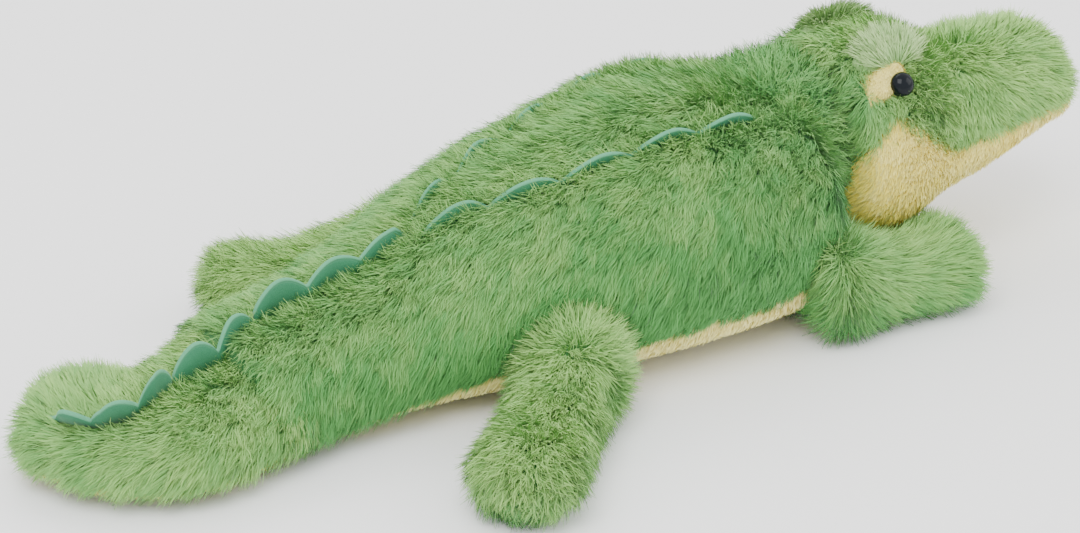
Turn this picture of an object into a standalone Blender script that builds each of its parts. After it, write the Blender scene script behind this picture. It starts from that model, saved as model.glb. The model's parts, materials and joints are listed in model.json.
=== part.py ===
"""A stuffed plush crocodile lying on its belly, modelled piece by piece.

Frame: +X points along the back to the snout, +Y to the crocodile's left, +Z up. The origin is on
the ground under the middle of the belly. Every size is in metres. A soft form is a row of rings
along a centre line, from its rear or its root. A ring's angle 0 is on the crocodile's left and
a quarter turn is its top. Yellow panels are let into the green forms, crests stand in slits, and
each limb is cut by the form that carries it at every angle that it swings through.
"""

import math
from collections import namedtuple

import bmesh
import bpy
from mathutils import Matrix, Vector

# Clearances and cloth
seam_gap = 0.0003
slit_gap = 0.0005
swing_gap = 0.0005
ground_cut = 0.0005
panel_depth = 0.0045
overrun = 0.006
merge_length = 0.00002

# Trunk
trunk_length = 0.287
trunk_half_width = 0.085
trunk_height = 0.119
trunk_rear = -0.150
trunk_drift = 0.009
shoulder_dome = 0.022

# Tail
tail_root_inset = 0.012
tail_root_drift = 0.0065
tail_root_half_width = 0.050
tail_root_height = 0.0515
tail_run = 0.084
tail_drift = 0.0145
tail_end_dome = 0.028

# Neck
neck_radius = 0.044
neck_ahead = 0.009
neck_drop = 0.046
neck_forward = trunk_rear + trunk_length + neck_ahead
neck_up = trunk_height - neck_drop

# Head
head_ahead = 0.026
head_length = 0.121
head_half_width = 0.054
head_rise = 0.010
head_rear = neck_forward + head_ahead
head_height = trunk_height + head_rise
head_aside = -0.004
nape_dome = 0.012
snout_dome = 0.024

# Legs
leg_half_width = 0.028
leg_height = 0.040
rear_leg_reach = 0.066
fore_leg_reach = 0.044
leg_root_depth = 0.026
leg_root_dome = 0.012
foot_dome = 0.023
rear_right_leg_ahead = 0.129
rear_right_leg_inset = 0.001
rear_left_leg_ahead = 0.114
rear_left_leg_inset = 0.011
fore_leg_ahead = 0.023
fore_leg_inset = 0.023
rear_right_leg_forward = trunk_rear + rear_right_leg_ahead
rear_right_leg_side = trunk_half_width - rear_right_leg_inset
rear_left_leg_forward = trunk_rear + rear_left_leg_ahead
rear_left_leg_side = trunk_half_width - rear_left_leg_inset
fore_leg_forward = trunk_rear + trunk_length + fore_leg_ahead
fore_leg_side = trunk_half_width - fore_leg_inset

# Crests
crest_thickness = 0.003
crest_root = 0.0065
tail_peak = 0.0110
tail_valley = 0.0040
back_peak = 0.0045
back_valley = 0.0010
scallop_length = 0.023

# Eyes and brows
eye_radius = 0.0060
eye_rise = 0.0046
eye_sink = 0.0022
shank_radius = 0.0021
shank_length = 0.0150
washer_radius = 0.0080
washer_thickness = 0.0018
washer_sink = 0.0105
patch_half_length = 0.0135
patch_half_height = 0.0105
patch_depth = 0.0040
patch_proud = 0.0006
brow_half_length = 0.0170
brow_half_height = 0.0085
brow_half_depth = 0.0060
brow_sink = 0.0020

# Joint ranges in degrees, inward or down first
tail_swing_range = (-15, 15)
tail_curl_range = (-15, 15)
rear_right_range = (-5, 20)
rear_left_range = (0, 25)
fore_range = (0, 25)

# Headings of the legs in degrees, from +X towards +Y
rear_right_heading = 226
rear_left_heading = 172
fore_right_heading = 358
fore_left_heading = 3

# Forms as shares, from the rear or the root: place, sideways, half-width, lowest, highest.
trunk_shares = (
    (0.00, -1.00, 0.610, 0.0, 0.475),
    (0.15, -0.35, 0.640, 0.0, 0.515),
    (0.29, 0.00, 0.705, 0.0, 0.595),
    (0.40, 0.00, 0.800, 0.0, 0.740),
    (0.62, 0.00, 0.960, 0.0, 0.907),
    (0.81, 0.00, 1.000, 0.0, 1.000),
    (1.00, 0.00, 0.905, 0.0, 0.940),
)
tail_shares = (
    (0.00, 0.00, 1.000, 0.0, 1.000),
    (0.26, -0.69, 0.970, 0.0, 0.915),
    (0.53, -1.00, 0.936, 0.0, 0.865),
    (0.80, -0.45, 0.830, 0.0, 0.825),
    (1.00, 0.79, 0.690, 0.0, 0.855),
)
tail_base_end_share = 0.48
tail_curl_share = 0.55
tail_tip_root_share = 0.97
head_shares = (
    (0.00, 1.0, 1.000, 0.285, 0.970),
    (0.22, 1.0, 0.950, 0.255, 1.000),
    (0.46, 1.0, 0.780, 0.290, 0.880),
    (0.66, 1.0, 0.800, 0.320, 0.850),
    (1.00, 1.0, 0.700, 0.430, 0.832),
)
leg_shares = (
    (0.00, 0.0, 0.97, 0.0, 1.42),
    (0.40, 0.0, 0.93, 0.0, 1.12),
    (0.70, 0.0, 0.96, 0.0, 1.00),
    (1.00, 0.0, 1.03, 0.0, 1.05),
)

# Roundness of the upper and lower half of a ring: 2 is an ellipse, more is squarer.
trunk_round = (2.15, 2.80)
tail_round = (2.00, 2.60)
ball_round = (2.00, 2.00)
head_round = (2.15, 2.30)
leg_round = (2.20, 2.60)
waist_share = 0.44

# Seams and crests in degrees round a ring
top_angle = 90
belly_seam_angle = 38
tail_seam_angle = 30
throat_seam_angle = 28
sole_seam_angle = 26
flat_half_angle = 8
chin_seam_angles = (-14, -10, -1, 14, 28, 38)
fork_share = 0.31
row_spread_angles = (5, 11, 17.5, 20.5, 22.5, 24.5, 26, 25)
rump_crest_share = 0.10
tip_crest_angles = (92, 103, 115, 124, 130, 132)
eye_share = 0.155
eye_angle = 140
patch_share = 0.095
patch_angle = 143
brow_share = 0.15
brow_angle = 117
probe_share = 0.01
crease_angle = 50

# Counts
trunk_rings = 13
tail_base_rings = 4
tail_tip_rings = 5
head_rings = 9
leg_rings = 5
dome_turns = (24, 46, 66)
ball_turns = (15, 30, 45, 60, 75)
upper_steps = 14
lower_steps = 3
limb_upper_steps = 9
turned_steps = 48
eye_steps = 6
swing_samples = 4
scallop_steps = 4
slit_steps = 2
block_scale = 4

Station = namedtuple("Station", "foot heading left wide low waist high reach turn upper lower")


def clear_scene():
    for old in list(bpy.data.objects):
        bpy.data.objects.remove(old, do_unlink=True)


def make_collection(name):
    collection = bpy.data.collections.new(name)
    bpy.context.scene.collection.children.link(collection)
    return collection


def make_material(name, colour, roughness, sheen=0.0):
    material = bpy.data.materials.new(name)
    material.use_nodes = True
    shader = material.node_tree.nodes["Principled BSDF"]
    shader.inputs["Base Color"].default_value = (*colour, 1.0)
    shader.inputs["Roughness"].default_value = roughness
    shader.inputs["Metallic"].default_value = 0.0
    shader.inputs["Sheen Weight"].default_value = sheen
    material.diffuse_color = (*colour, 1.0)
    return material


def finish_object(bm, name, material, collection, origin):
    """A closed mesh as an object whose origin is the given point."""
    bmesh.ops.recalc_face_normals(bm, faces=bm.faces)
    bmesh.ops.translate(bm, verts=bm.verts, vec=-origin)
    mesh = bpy.data.meshes.new(name)
    bm.to_mesh(mesh)
    bm.free()
    mesh.shade_smooth()
    mesh.set_sharp_from_angle(angle=math.radians(crease_angle))
    thing = bpy.data.objects.new(name, mesh)
    thing.location = origin
    mesh.materials.append(material)
    collection.objects.link(thing)
    return thing


def hide_cutter(thing):
    thing.hide_render = True
    thing.display_type = "WIRE"
    return thing


def boolean(thing, cutter, operation="DIFFERENCE"):
    modifier = thing.modifiers.new(f"{operation.lower()} {cutter.name}", "BOOLEAN")
    modifier.operation = operation
    modifier.solver = "EXACT"
    modifier.object = cutter


# Rings along a centre line
def row_at(rows, place):
    """A row read at a place along the smooth curve through the rows of a table."""
    at = max([i for i in range(len(rows) - 1) if rows[i][0] <= place] or [0])
    one, two = rows[at], rows[at + 1]
    before, after = rows[max(at - 1, 0)], rows[min(at + 2, len(rows) - 1)]
    span = two[0] - one[0]
    t = (place - one[0]) / span
    row = []
    for a, b, c, d in zip(before, one, two, after):
        lead = (c - a) / (two[0] - before[0]) * span
        trail = (d - b) / (after[0] - one[0]) * span
        swell = (t**3 - 2 * t**2 + t) * lead + (t**3 - t**2) * trail
        row.append(b + (c - b) * (3 * t**2 - 2 * t**3) + swell)
    return row


def rows_between(shares, start, end, count):
    return [row_at(shares, start + (end - start) * i / (count - 1)) for i in range(count)]


def place_rows(rows, origin, along, aside, wide, tall):
    """Stations from rows of shares, run out from a point along a direction."""
    across = Vector((-along.y, along.x, 0))
    feet = [origin + along * row[0] + across * (row[1] * aside) for row in rows]
    stations = []
    for at, row in enumerate(rows):
        heading = (feet[min(at + 1, len(rows) - 1)] - feet[max(at - 1, 0)]).normalized()
        left = Vector((-heading.y, heading.x, 0))
        low, high = row[3] * tall - ground_cut * (row[3] == 0), row[4] * tall
        waist = low + (high - low) * waist_share
        stations.append(
            Station(feet[at], heading, left, row[2] * wide, low, waist, high, 0, 0, 2, 2)
        )
    return stations


def rounded(stations, roundness):
    return [s._replace(upper=roundness[0], lower=roundness[1]) for s in stations]


def facing(stations, side):
    """Stations whose angle 0 lies on the crocodile's left or right."""
    return [s._replace(left=s.left * side) for s in stations]


def dome(end, reach, turns=dome_turns):
    """Rings that round off an end: forward for a reach above zero, backward below it."""
    rings = [end._replace(reach=reach, turn=math.radians(turn)) for turn in turns]
    return rings if reach > 0 else rings[::-1]


def signed_power(value, power):
    return math.copysign(abs(value) ** power, value)


def ring_point(station, angle, depth=0.0):
    """The point at an angle round a station, a depth inside the tips of the pile.

    A dome whose reach is its half-width is a solid of revolution about its upright.
    """
    sine, cosine = math.sin(math.radians(angle)), math.cos(math.radians(angle))
    above = sine > 0
    roundness = station.upper if above else station.lower
    rise = (station.high - station.waist if above else station.waist - station.low) - depth
    wide = station.wide - depth
    across = wide * math.cos(station.turn) * signed_power(cosine, 2 / station.upper)
    ratio = min(math.hypot(math.sin(station.turn), across / wide), 1.0)
    lift = rise * (1 - ratio**roundness) ** (1 / roundness)
    along = (abs(station.reach) - depth) * math.sin(station.turn)
    point = station.foot + station.heading * math.copysign(along, station.reach)
    point += station.left * across
    point.z = station.waist + (lift if above else -lift)
    if depth >= 0:
        point.z = max(point.z, 0.0)
    return point


def pole_point(station, depth=0.0):
    """The tip of the dome that a ring belongs to."""
    along = abs(station.reach) - depth
    point = station.foot + station.heading * math.copysign(along, station.reach)
    point.z = station.waist
    return point


def round_direction(station, angle):
    """Unit vector along the skin towards greater angles."""
    return (ring_point(station, angle + 1) - ring_point(station, angle - 1)).normalized()


def out_direction(station, angle):
    """Unit vector from under the skin to its surface."""
    return (ring_point(station, angle) - ring_point(station, angle, crest_root)).normalized()


def spread(start, end, steps):
    return [start + (end - start) * k / steps for k in range(steps + 1)]


def under_angles(seam):
    """Angles from the right seam under the form to the left one, with a flat strip between."""
    right = spread(-top_angle - flat_half_angle, -2 * top_angle + seam, lower_steps)
    left = [-2 * top_angle - angle for angle in right]
    return right[::-1] + left


def over_angles(seam, steps):
    return spread(-seam, 180 + seam, steps)


def whole_angles(seam, steps):
    """Angles of a closed ring, each once."""
    return over_angles(seam, steps) + [angle + 360 for angle in under_angles(seam)[1:-1]]


def station_at(stations, share):
    """The station at a share of the way along a row of them."""
    at = share * (len(stations) - 1)
    return mixed(stations[int(at)], stations[int(at) + 1], at - int(at))


def mixed(one, two, t):
    """The station a share of the way from one to another."""
    values = [a + (b - a) * t for a, b in zip(one[:-2], two[:-2])]
    return Station(*values, two.upper, two.lower)


# Solids made from rings
def add_strip(bm, one, two):
    for a, b, c, d in zip(one, two, two[1:], one[1:]):
        bm.faces.new((a, b, c))
        bm.faces.new((a, c, d))


def loft(name, stations, angles, depth, material, collection, origin):
    """A closed loft through whole rings, with a pole at each dome and a flat cap elsewhere."""
    bm = bmesh.new()
    rings = [[bm.verts.new(ring_point(s, a, depth)) for a in angles] for s in stations]
    for one, two in zip(rings, rings[1:]):
        add_strip(bm, one + one[:1], two + two[:1])
    for ring, station in ((rings[0], stations[0]), (rings[-1], stations[-1])):
        if station.turn == 0:
            bm.faces.new(ring)
            continue
        pole = bm.verts.new(pole_point(station, depth))
        for a, b in zip(ring, ring[1:] + ring[:1]):
            bm.faces.new((a, b, pole))
    return finish_object(bm, name, material, collection, origin)


Patch = namedtuple("Patch", "stations angles outer inner margin rear front")


def patch_rows(patch, depth):
    """Rows of a patch of skin: drawn in at its seams and drawn out at its two ends."""
    rows = []
    for station, angles in zip(patch.stations, patch.angles):
        row = [ring_point(station, angle, depth) for angle in angles]
        row[0] += round_direction(station, angles[0]) * patch.margin
        row[-1] -= round_direction(station, angles[-1]) * patch.margin
        rows.append(row)
    for end, beyond, length in ((0, 1, patch.rear), (-1, -2, patch.front)):
        steps = [(a - b).normalized() * length for a, b in zip(rows[end], rows[beyond])]
        rows[end] = [point + step for point, step in zip(rows[end], steps)]
    return rows


def patch_object(name, patch, material, collection, origin):
    bm = bmesh.new()
    outer = [[bm.verts.new(p) for p in row] for row in patch_rows(patch, patch.outer)]
    inner = [[bm.verts.new(p) for p in row] for row in patch_rows(patch, patch.inner)]
    for rows in (outer, inner):
        for one, two in zip(rows, rows[1:]):
            add_strip(bm, one, two)
    for side in (0, -1):
        add_strip(bm, [row[side] for row in outer], [row[side] for row in inner])
    for end in (0, -1):
        add_strip(bm, outer[end], inner[end])
    return finish_object(bm, name, material, collection, origin)


def inlaid_panel(name, form, stations, angles, pool, open_ends=(False, False)):
    """A yellow panel let into a form, flush with it, with a seam all round."""
    panel = Patch(stations, angles, 0.0, panel_depth, seam_gap, 0.0, 0.0)
    piece = patch_object(name, panel, pool.yellow, pool.parts, form.location)
    ends = [overrun if is_open else seam_gap for is_open in open_ends]
    recess = Patch(stations, angles, -overrun, panel_depth + seam_gap, 0.0, ends[0], ends[1])
    cutter = patch_object(f"{name}_recess", recess, pool.yellow, pool.cutters, form.location)
    boolean(form, hide_cutter(cutter))
    return piece


Frame = namedtuple("Frame", "surface side outward")


def fin(name, frames, heights, half, root, material, collection, origin):
    """A thin wall that stands on a line along a form, with its own height at every frame."""
    bm = bmesh.new()
    rows = []
    for frame, height in zip(frames, heights):
        side = frame.side * half
        foot = frame.surface - frame.outward * root
        tip = frame.surface + frame.outward * height
        rows.append([bm.verts.new(p) for p in (foot + side, foot - side, tip - side, tip + side)])
    for one, two in zip(rows, rows[1:]):
        for a, b, c, d in zip(one, two, two[1:] + two[:1], one[1:] + one[:1]):
            bm.faces.new((a, b, c, d))
    bm.faces.new(rows[0])
    bm.faces.new(rows[-1])
    return finish_object(bm, name, material, collection, origin)


def finer(frames, steps):
    """Frames with more between them, on the straight lines that join their corners."""
    result = []
    for one, two in zip(frames, frames[1:]):
        for step in range(steps):
            t = step / steps
            result.append(Frame(*(a.lerp(b, t) for a, b in zip(one, two))))
    return result + [frames[-1]]


def scallop_heights(frames, peak, valley):
    lengths = [0.0]
    for one, two in zip(frames, frames[1:]):
        lengths.append(lengths[-1] + (two.surface - one.surface).length)
    scallops = max(1, round(lengths[-1] / scallop_length))
    heights = []
    for length in lengths:
        phase = (length / lengths[-1] * scallops) % 1.0
        heights.append(valley + (peak - valley) * math.sqrt(max(0.0, 1 - (2 * phase - 1) ** 2)))
    return heights


def lengthened(frames, length):
    """Frames whose two ends are moved out along the line."""
    back = (frames[0].surface - frames[1].surface).normalized() * length
    on = (frames[-1].surface - frames[-2].surface).normalized() * length
    first = frames[0]._replace(surface=frames[0].surface + back)
    last = frames[-1]._replace(surface=frames[-1].surface + on)
    return [first, *frames[1:-1], last]


def crest(name, form, stations, angles, peak, valley, pool):
    """A scalloped crest in a slit along a form."""
    frames = [
        Frame(ring_point(s, a), round_direction(s, a), out_direction(s, a))
        for s, a in zip(stations, angles)
    ]
    half = crest_thickness / 2
    scalloped = finer(frames, scallop_steps)
    slotted = finer(lengthened(frames, seam_gap), slit_steps)
    heights = scallop_heights(scalloped, peak, valley)
    piece = fin(
        name, scalloped, heights, half, crest_root, pool.teal, pool.parts, form.location
    )
    slit = fin(
        f"{name}_slit",
        slotted,
        [peak + overrun] * len(slotted),
        half + slit_gap,
        crest_root + slit_gap,
        pool.teal,
        pool.cutters,
        form.location,
    )
    boolean(form, hide_cutter(slit))
    return piece


# Cutters
def turned_seat(name, station, collection, material):
    """The hollow in which a form's root turns: its dome spun about its upright."""
    bm = bmesh.new()
    upright = station._replace(foot=Vector(), left=Vector((1, 0, 0)))
    profile = [ring_point(upright, angle, -swing_gap) for angle in spread(top_angle, 0, upper_steps)]
    profile[0].x = 0.0
    profile += [Vector((profile[-1].x, 0, -overrun)), Vector((0, 0, -overrun))]
    points = [bm.verts.new(p) for p in profile]
    for a, b in zip(points, points[1:]):
        bm.edges.new((a, b))
    mesh = bpy.data.meshes.new(name)
    bm.to_mesh(mesh)
    bm.free()
    mesh.materials.append(material)
    thing = bpy.data.objects.new(name, mesh)
    thing.location = station.foot
    screw = thing.modifiers.new("turned", "SCREW")
    screw.steps = screw.render_steps = turned_steps
    screw.use_merge_vertices = True
    screw.merge_threshold = merge_length
    collection.objects.link(thing)
    return hide_cutter(thing)


def rim_block(name, station, setback, pool):
    """A block that cuts a form off square to its limb, a setback ahead of the limb's axis."""
    size = block_scale * station.wide
    bm = bmesh.new()
    bmesh.ops.create_cube(bm, size=size)
    middle = station.foot + station.heading * (size / 2 - setback)
    turn = Matrix.Rotation(math.atan2(station.heading.y, station.heading.x), 4, "Z")
    bmesh.ops.transform(bm, matrix=Matrix.Translation(middle) @ turn, verts=bm.verts)
    return hide_cutter(finish_object(bm, name, pool.green, pool.cutters, station.foot))


def ball_seat(name, centre, radius, collection, material):
    bm = bmesh.new()
    bmesh.ops.create_uvsphere(
        bm, u_segments=turned_steps, v_segments=turned_steps // 2, radius=radius
    )
    bmesh.ops.translate(bm, verts=bm.verts, vec=centre)
    return hide_cutter(finish_object(bm, name, material, collection, centre))


def swing_cutters(name, form, axis, turn_range, sense, pool):
    """Copies of a form, turned back about a leg's axis by every angle that the leg swings."""
    copies = []
    for step, angle in enumerate(spread(*turn_range, swing_samples - 1)):
        copy = bpy.data.objects.new(f"{name}_{step + 1}", form.data.copy())
        turn = Matrix.Rotation(math.radians(-angle * sense), 4, "Z")
        to_axis = Matrix.Translation(axis)
        copy.matrix_world = to_axis @ turn @ to_axis.inverted() @ Matrix.Translation(form.location)
        pool.cutters.objects.link(hide_cutter(copy))
        copies.append(copy)
    return copies


# The crocodile's forms
class Pool:
    """The materials and collections that every piece shares."""

    def __init__(self):
        self.parts = make_collection("plush_crocodile")
        self.cutters = make_collection("cutters")
        self.green = make_material("long_pile_green", (0.33, 0.45, 0.21), 0.95, 0.4)
        self.yellow = make_material("short_pile_yellow", (0.52, 0.48, 0.23), 0.95, 0.3)
        self.teal = make_material("crest_velour_teal", (0.10, 0.27, 0.14), 0.90, 0.3)
        self.pale = make_material("brow_pile_pale", (0.42, 0.50, 0.29), 0.95, 0.4)
        self.black = make_material("eye_black", (0.006, 0.008, 0.008), 0.08)
        self.plastic = make_material("washer_plastic", (0.70, 0.70, 0.66), 0.45)


def trunk_stations():
    rows = rows_between(trunk_shares, 0.0, 1.0, trunk_rings)
    for row in rows:
        row[0] *= trunk_length
    start = Vector((trunk_rear, 0, 0))
    ahead = Vector((1, 0, 0))
    stations = place_rows(rows, start, ahead, trunk_drift, trunk_half_width, trunk_height)
    return rounded(stations, trunk_round)


def make_trunk(pool):
    spine = trunk_stations()
    stations = spine + dome(spine[-1], shoulder_dome)
    origin = Vector((0, 0, 0))
    angles = whole_angles(belly_seam_angle, upper_steps)
    body = loft("trunk", stations, angles, 0.0, pool.green, pool.parts, origin)
    envelope = loft(
        "trunk_envelope", stations, angles, -swing_gap, pool.green, pool.cutters, origin
    )
    hide_cutter(envelope)
    belly_rings = stations[:-2]
    belly_angles = [under_angles(belly_seam_angle)] * len(belly_rings)
    belly = inlaid_panel("belly_panel", body, belly_rings, belly_angles, pool, (True, False))
    fork = round(fork_share * (trunk_rings - 1))
    end = fork + len(row_spread_angles) - 1
    rump = [station_at(spine, rump_crest_share), *spine[2 : fork + 1]]
    crest("rump_crest", body, rump, [top_angle] * len(rump), back_peak, back_valley, pool)
    rows = [slipped_forward(spine[fork], spine[fork + 1])] + spine[fork + 1 : end + 1]
    for name, side in (("left_back_crest", -1), ("right_back_crest", 1)):
        line = [top_angle + side * angle for angle in row_spread_angles]
        crest(name, body, rows, line, back_peak, back_valley, pool)
    return body, belly, envelope


def slipped_forward(one, two):
    """A ring a little ahead of one, where a crest that starts there clears the one behind."""
    return mixed(one, two, 2 * crest_thickness / (two.foot - one.foot).length)


def tail_rows(start, end, count):
    rows = rows_between(tail_shares, start, end, count)
    for row in rows:
        row[0] *= tail_run
    return rows


def tail_stations(start, end, count, root):
    rows = tail_rows(start, end, count)
    wide, tall = tail_root_half_width, tail_root_height
    stations = place_rows(rows, root, Vector((-1, 0, 0)), -tail_drift, wide, tall)
    return facing(rounded(stations, tail_round), -1)


def rim_setback(radius, turn_range):
    """How far ahead of its axis a root's rim stands, so that what swings stays inside it."""
    return radius * math.sin(math.radians(turn_range[1]))


def make_tail(pool, trunk_pieces):
    root = Vector((trunk_rear + tail_root_inset, -tail_root_drift, 0))
    base = tail_stations(0.0, tail_base_end_share, tail_base_rings, root)
    tip = tail_stations(tail_curl_share, 1.0, tail_tip_rings, root)
    first = tip[0]
    tip[0] = first._replace(
        wide=first.wide * tail_tip_root_share, high=first.high * tail_tip_root_share
    )
    rim = rim_block("trunk_rim", base[0], rim_setback(base[0].wide, tail_swing_range), pool)
    seat = turned_seat("tail_seat", base[0], pool.cutters, pool.green)
    for piece in trunk_pieces:
        boolean(piece, rim)
        boolean(piece, seat)
    angles = whole_angles(tail_seam_angle, limb_upper_steps + 2)
    pieces = []
    base_rings = dome(base[0], -base[0].wide) + base
    tip_rings = dome(tip[0], -tip[0].wide) + tip + dome(tip[-1], tail_end_dome)
    for name, rings, spine, ends in (
        ("tail_base", base_rings, base, (False, True)),
        ("tail_tip", tip_rings, tip, (False, False)),
    ):
        body = loft(name, rings, angles, 0.0, pool.green, pool.parts, spine[0].foot)
        lower = rings[2:] if ends[1] else rings[2:-2]
        under = [under_angles(tail_seam_angle)] * len(lower)
        panel = inlaid_panel(f"{name}_underside", body, lower, under, pool, ends)
        line = spine if ends[1] else spine + dome(spine[-1], tail_end_dome)[:1]
        along = [top_angle] * len(line) if ends[1] else tip_crest_angles
        ridge = crest(f"{name}_crest", body, line, along, tail_peak, tail_valley, pool)
        pieces.append((body, panel, ridge))
    rim = rim_block("tail_base_rim", tip[0], rim_setback(tip[0].wide, tail_curl_range), pool)
    seat = turned_seat("tail_tip_seat", tip[0], pool.cutters, pool.green)
    for piece in pieces[0]:
        boolean(piece, rim)
        boolean(piece, seat)


def make_neck(pool, trunk_pieces):
    centre = Vector((neck_forward, 0, neck_up))
    middle = Station(
        Vector((neck_forward, 0, 0)),
        Vector((1, 0, 0)),
        Vector((0, 1, 0)),
        neck_radius,
        neck_up - neck_radius,
        neck_up,
        neck_up + neck_radius,
        0,
        0,
        *ball_round,
    )
    rings = dome(middle, -neck_radius, ball_turns) + [middle]
    rings += dome(middle, neck_radius, ball_turns)
    angles = whole_angles(throat_seam_angle, upper_steps)
    body = loft("neck", rings, angles, 0.0, pool.green, pool.parts, centre)
    lower = rings[3:-1]
    inlaid_panel("throat_panel", body, lower, [under_angles(throat_seam_angle)] * len(lower), pool)
    seat = ball_seat("neck_seat", centre, neck_radius + swing_gap, pool.cutters, pool.green)
    for piece in trunk_pieces:
        boolean(piece, seat)
    return seat


def head_stations():
    rows = rows_between(head_shares, 0.0, 1.0, head_rings)
    for row in rows:
        row[0] *= head_length
    start = Vector((head_rear, 0, 0))
    ahead = Vector((1, 0, 0))
    stations = place_rows(rows, start, ahead, head_aside, head_half_width, head_height)
    return rounded(stations, head_round)


def head_spot(stations, share, angle):
    """A point on the head, its outward normal and the direction forward along the skin."""
    ring = station_at(stations, share)
    ahead = station_at(stations, share + probe_share)
    point = ring_point(ring, angle)
    forward = (ring_point(ahead, angle) - point).normalized()
    outward = forward.cross(round_direction(ring, angle)).normalized()
    if outward.dot(point - ring.foot - Vector((0, 0, ring.waist))) < 0:
        outward = -outward
    return point, outward, forward


def make_head(pool, neck_seat):
    spine = head_stations()
    rings = dome(spine[0], -nape_dome) + spine + dome(spine[-1], snout_dome)
    origin = Vector((neck_forward, 0, neck_up))
    angles = whole_angles(belly_seam_angle, upper_steps)
    body = loft("head", rings, angles, 0.0, pool.green, pool.parts, origin)
    proud = loft("head_proud", rings, angles, -patch_proud, pool.green, pool.cutters, origin)
    core = loft("head_core", rings, angles, patch_depth, pool.green, pool.cutters, origin)
    recess = loft(
        "head_recess", rings, angles, patch_depth + seam_gap, pool.green, pool.cutters, origin
    )
    rest = loft("head_rest", rings, angles, -seam_gap, pool.green, pool.cutters, origin)
    for cutter in (proud, core, recess, rest):
        hide_cutter(cutter)
    lower = rings[1:-2]
    table = [(float(i), float(seam)) for i, seam in enumerate(chin_seam_angles)]
    last = len(chin_seam_angles) - 1
    seams = [row_at(table, last * i / (len(lower) - 1))[1] for i in range(len(lower))]
    chin = inlaid_panel("chin_panel", body, lower, [under_angles(s) for s in seams], pool)
    for piece in (body, chin):
        boolean(piece, neck_seat)
    for name, side in (("left_eye", -1), ("right_eye", 1)):
        make_eye(pool, name, spine, side, body, proud, core, recess)
    for name, side in (("left_brow", -1), ("right_brow", 1)):
        make_brow(pool, name, spine, top_angle + side * (brow_angle - top_angle), rest, origin)


def facing_matrix(point, outward, forward):
    """Axes of a spot on the head: X forward, Z outward."""
    across = outward.cross(forward).normalized()
    turn = Matrix((forward, across, outward)).transposed().to_4x4()
    return Matrix.Translation(point) @ turn


def oval_plug(name, length, height, depth, collection, material):
    """An upright oval prism, centred, as long on each side of its middle as the depth."""
    bm = bmesh.new()
    bmesh.ops.create_cone(
        bm, cap_ends=True, segments=turned_steps // 2, radius1=1, radius2=1, depth=2 * depth
    )
    bmesh.ops.scale(bm, verts=bm.verts, vec=Vector((length, height, 1)))
    return finish_object(bm, name, material, collection, Vector((0, 0, 0)))


def make_eye(pool, name, stations, side, head, proud, core, recess):
    place = facing_matrix(*head_spot(stations, eye_share, top_angle + side * (eye_angle - top_angle)))
    patch_line = top_angle + side * (patch_angle - top_angle)
    patch_place = facing_matrix(*head_spot(stations, patch_share, patch_line))
    spot = (patch_half_length, patch_half_height, 2 * patch_depth)
    patch = oval_plug(f"{name}_patch", *spot, pool.parts, pool.yellow)
    boolean(patch, proud, "INTERSECT")
    boolean(patch, core)
    wider = (patch_half_length + seam_gap, patch_half_height + seam_gap, 2 * patch_depth)
    socket = oval_plug(f"{name}_patch_socket", *wider, pool.cutters, pool.yellow)
    boolean(socket, recess)
    boolean(head, hide_cutter(socket))
    eye = turned(name, eye_profile(0.0), pool.parts, pool.black)
    hole = turned(f"{name}_hole", eye_profile(seam_gap), pool.cutters, pool.black)
    washer = turned(f"{name}_washer", washer_profile(0.0), pool.parts, pool.plastic)
    room = turned(f"{name}_washer_room", washer_profile(seam_gap), pool.cutters, pool.plastic)
    for thing in (patch, socket):
        thing.matrix_world = patch_place
    for thing in (eye, hole, washer, room):
        thing.matrix_world = place
    boolean(patch, hide_cutter(hole))
    boolean(head, hole)
    boolean(head, hide_cutter(room))


def eye_profile(gap):
    """Half outline of an eye and its shank, from the tip of the dome to the shank's end."""
    points = []
    for angle in spread(top_angle, 0, eye_steps):
        turn = math.radians(angle)
        points.append(((eye_radius + gap) * math.cos(turn), eye_rise * math.sin(turn)))
    points[0] = (0.0, eye_rise)
    points += [
        (eye_radius + gap, -eye_sink - gap),
        (shank_radius + gap, -eye_sink - gap),
        (shank_radius + gap, -shank_length - gap),
        (0.0, -shank_length - gap),
    ]
    return points


def washer_profile(gap):
    """Half outline of a washer with the shank's hole, or of its room where there is a gap."""
    upper, lower = -washer_sink + gap, -washer_sink - washer_thickness - gap
    inside = 0.0 if gap else shank_radius + seam_gap
    outside = washer_radius + gap
    return [(inside, upper), (outside, upper), (outside, lower), (inside, lower)]


def turned(name, profile, collection, material):
    """A profile spun about Z."""
    bm = bmesh.new()
    points = [bm.verts.new((x, 0, z)) for x, z in profile]
    closed = profile[0][0] > 0
    for a, b in zip(points, points[1:] + points[:1] if closed else points[1:]):
        bm.edges.new((a, b))
    mesh = bpy.data.meshes.new(name)
    bm.to_mesh(mesh)
    bm.free()
    mesh.materials.append(material)
    thing = bpy.data.objects.new(name, mesh)
    screw = thing.modifiers.new("turned", "SCREW")
    screw.steps = screw.render_steps = turned_steps // 2
    screw.use_merge_vertices = True
    screw.merge_threshold = merge_length
    collection.objects.link(thing)
    return thing


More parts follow.
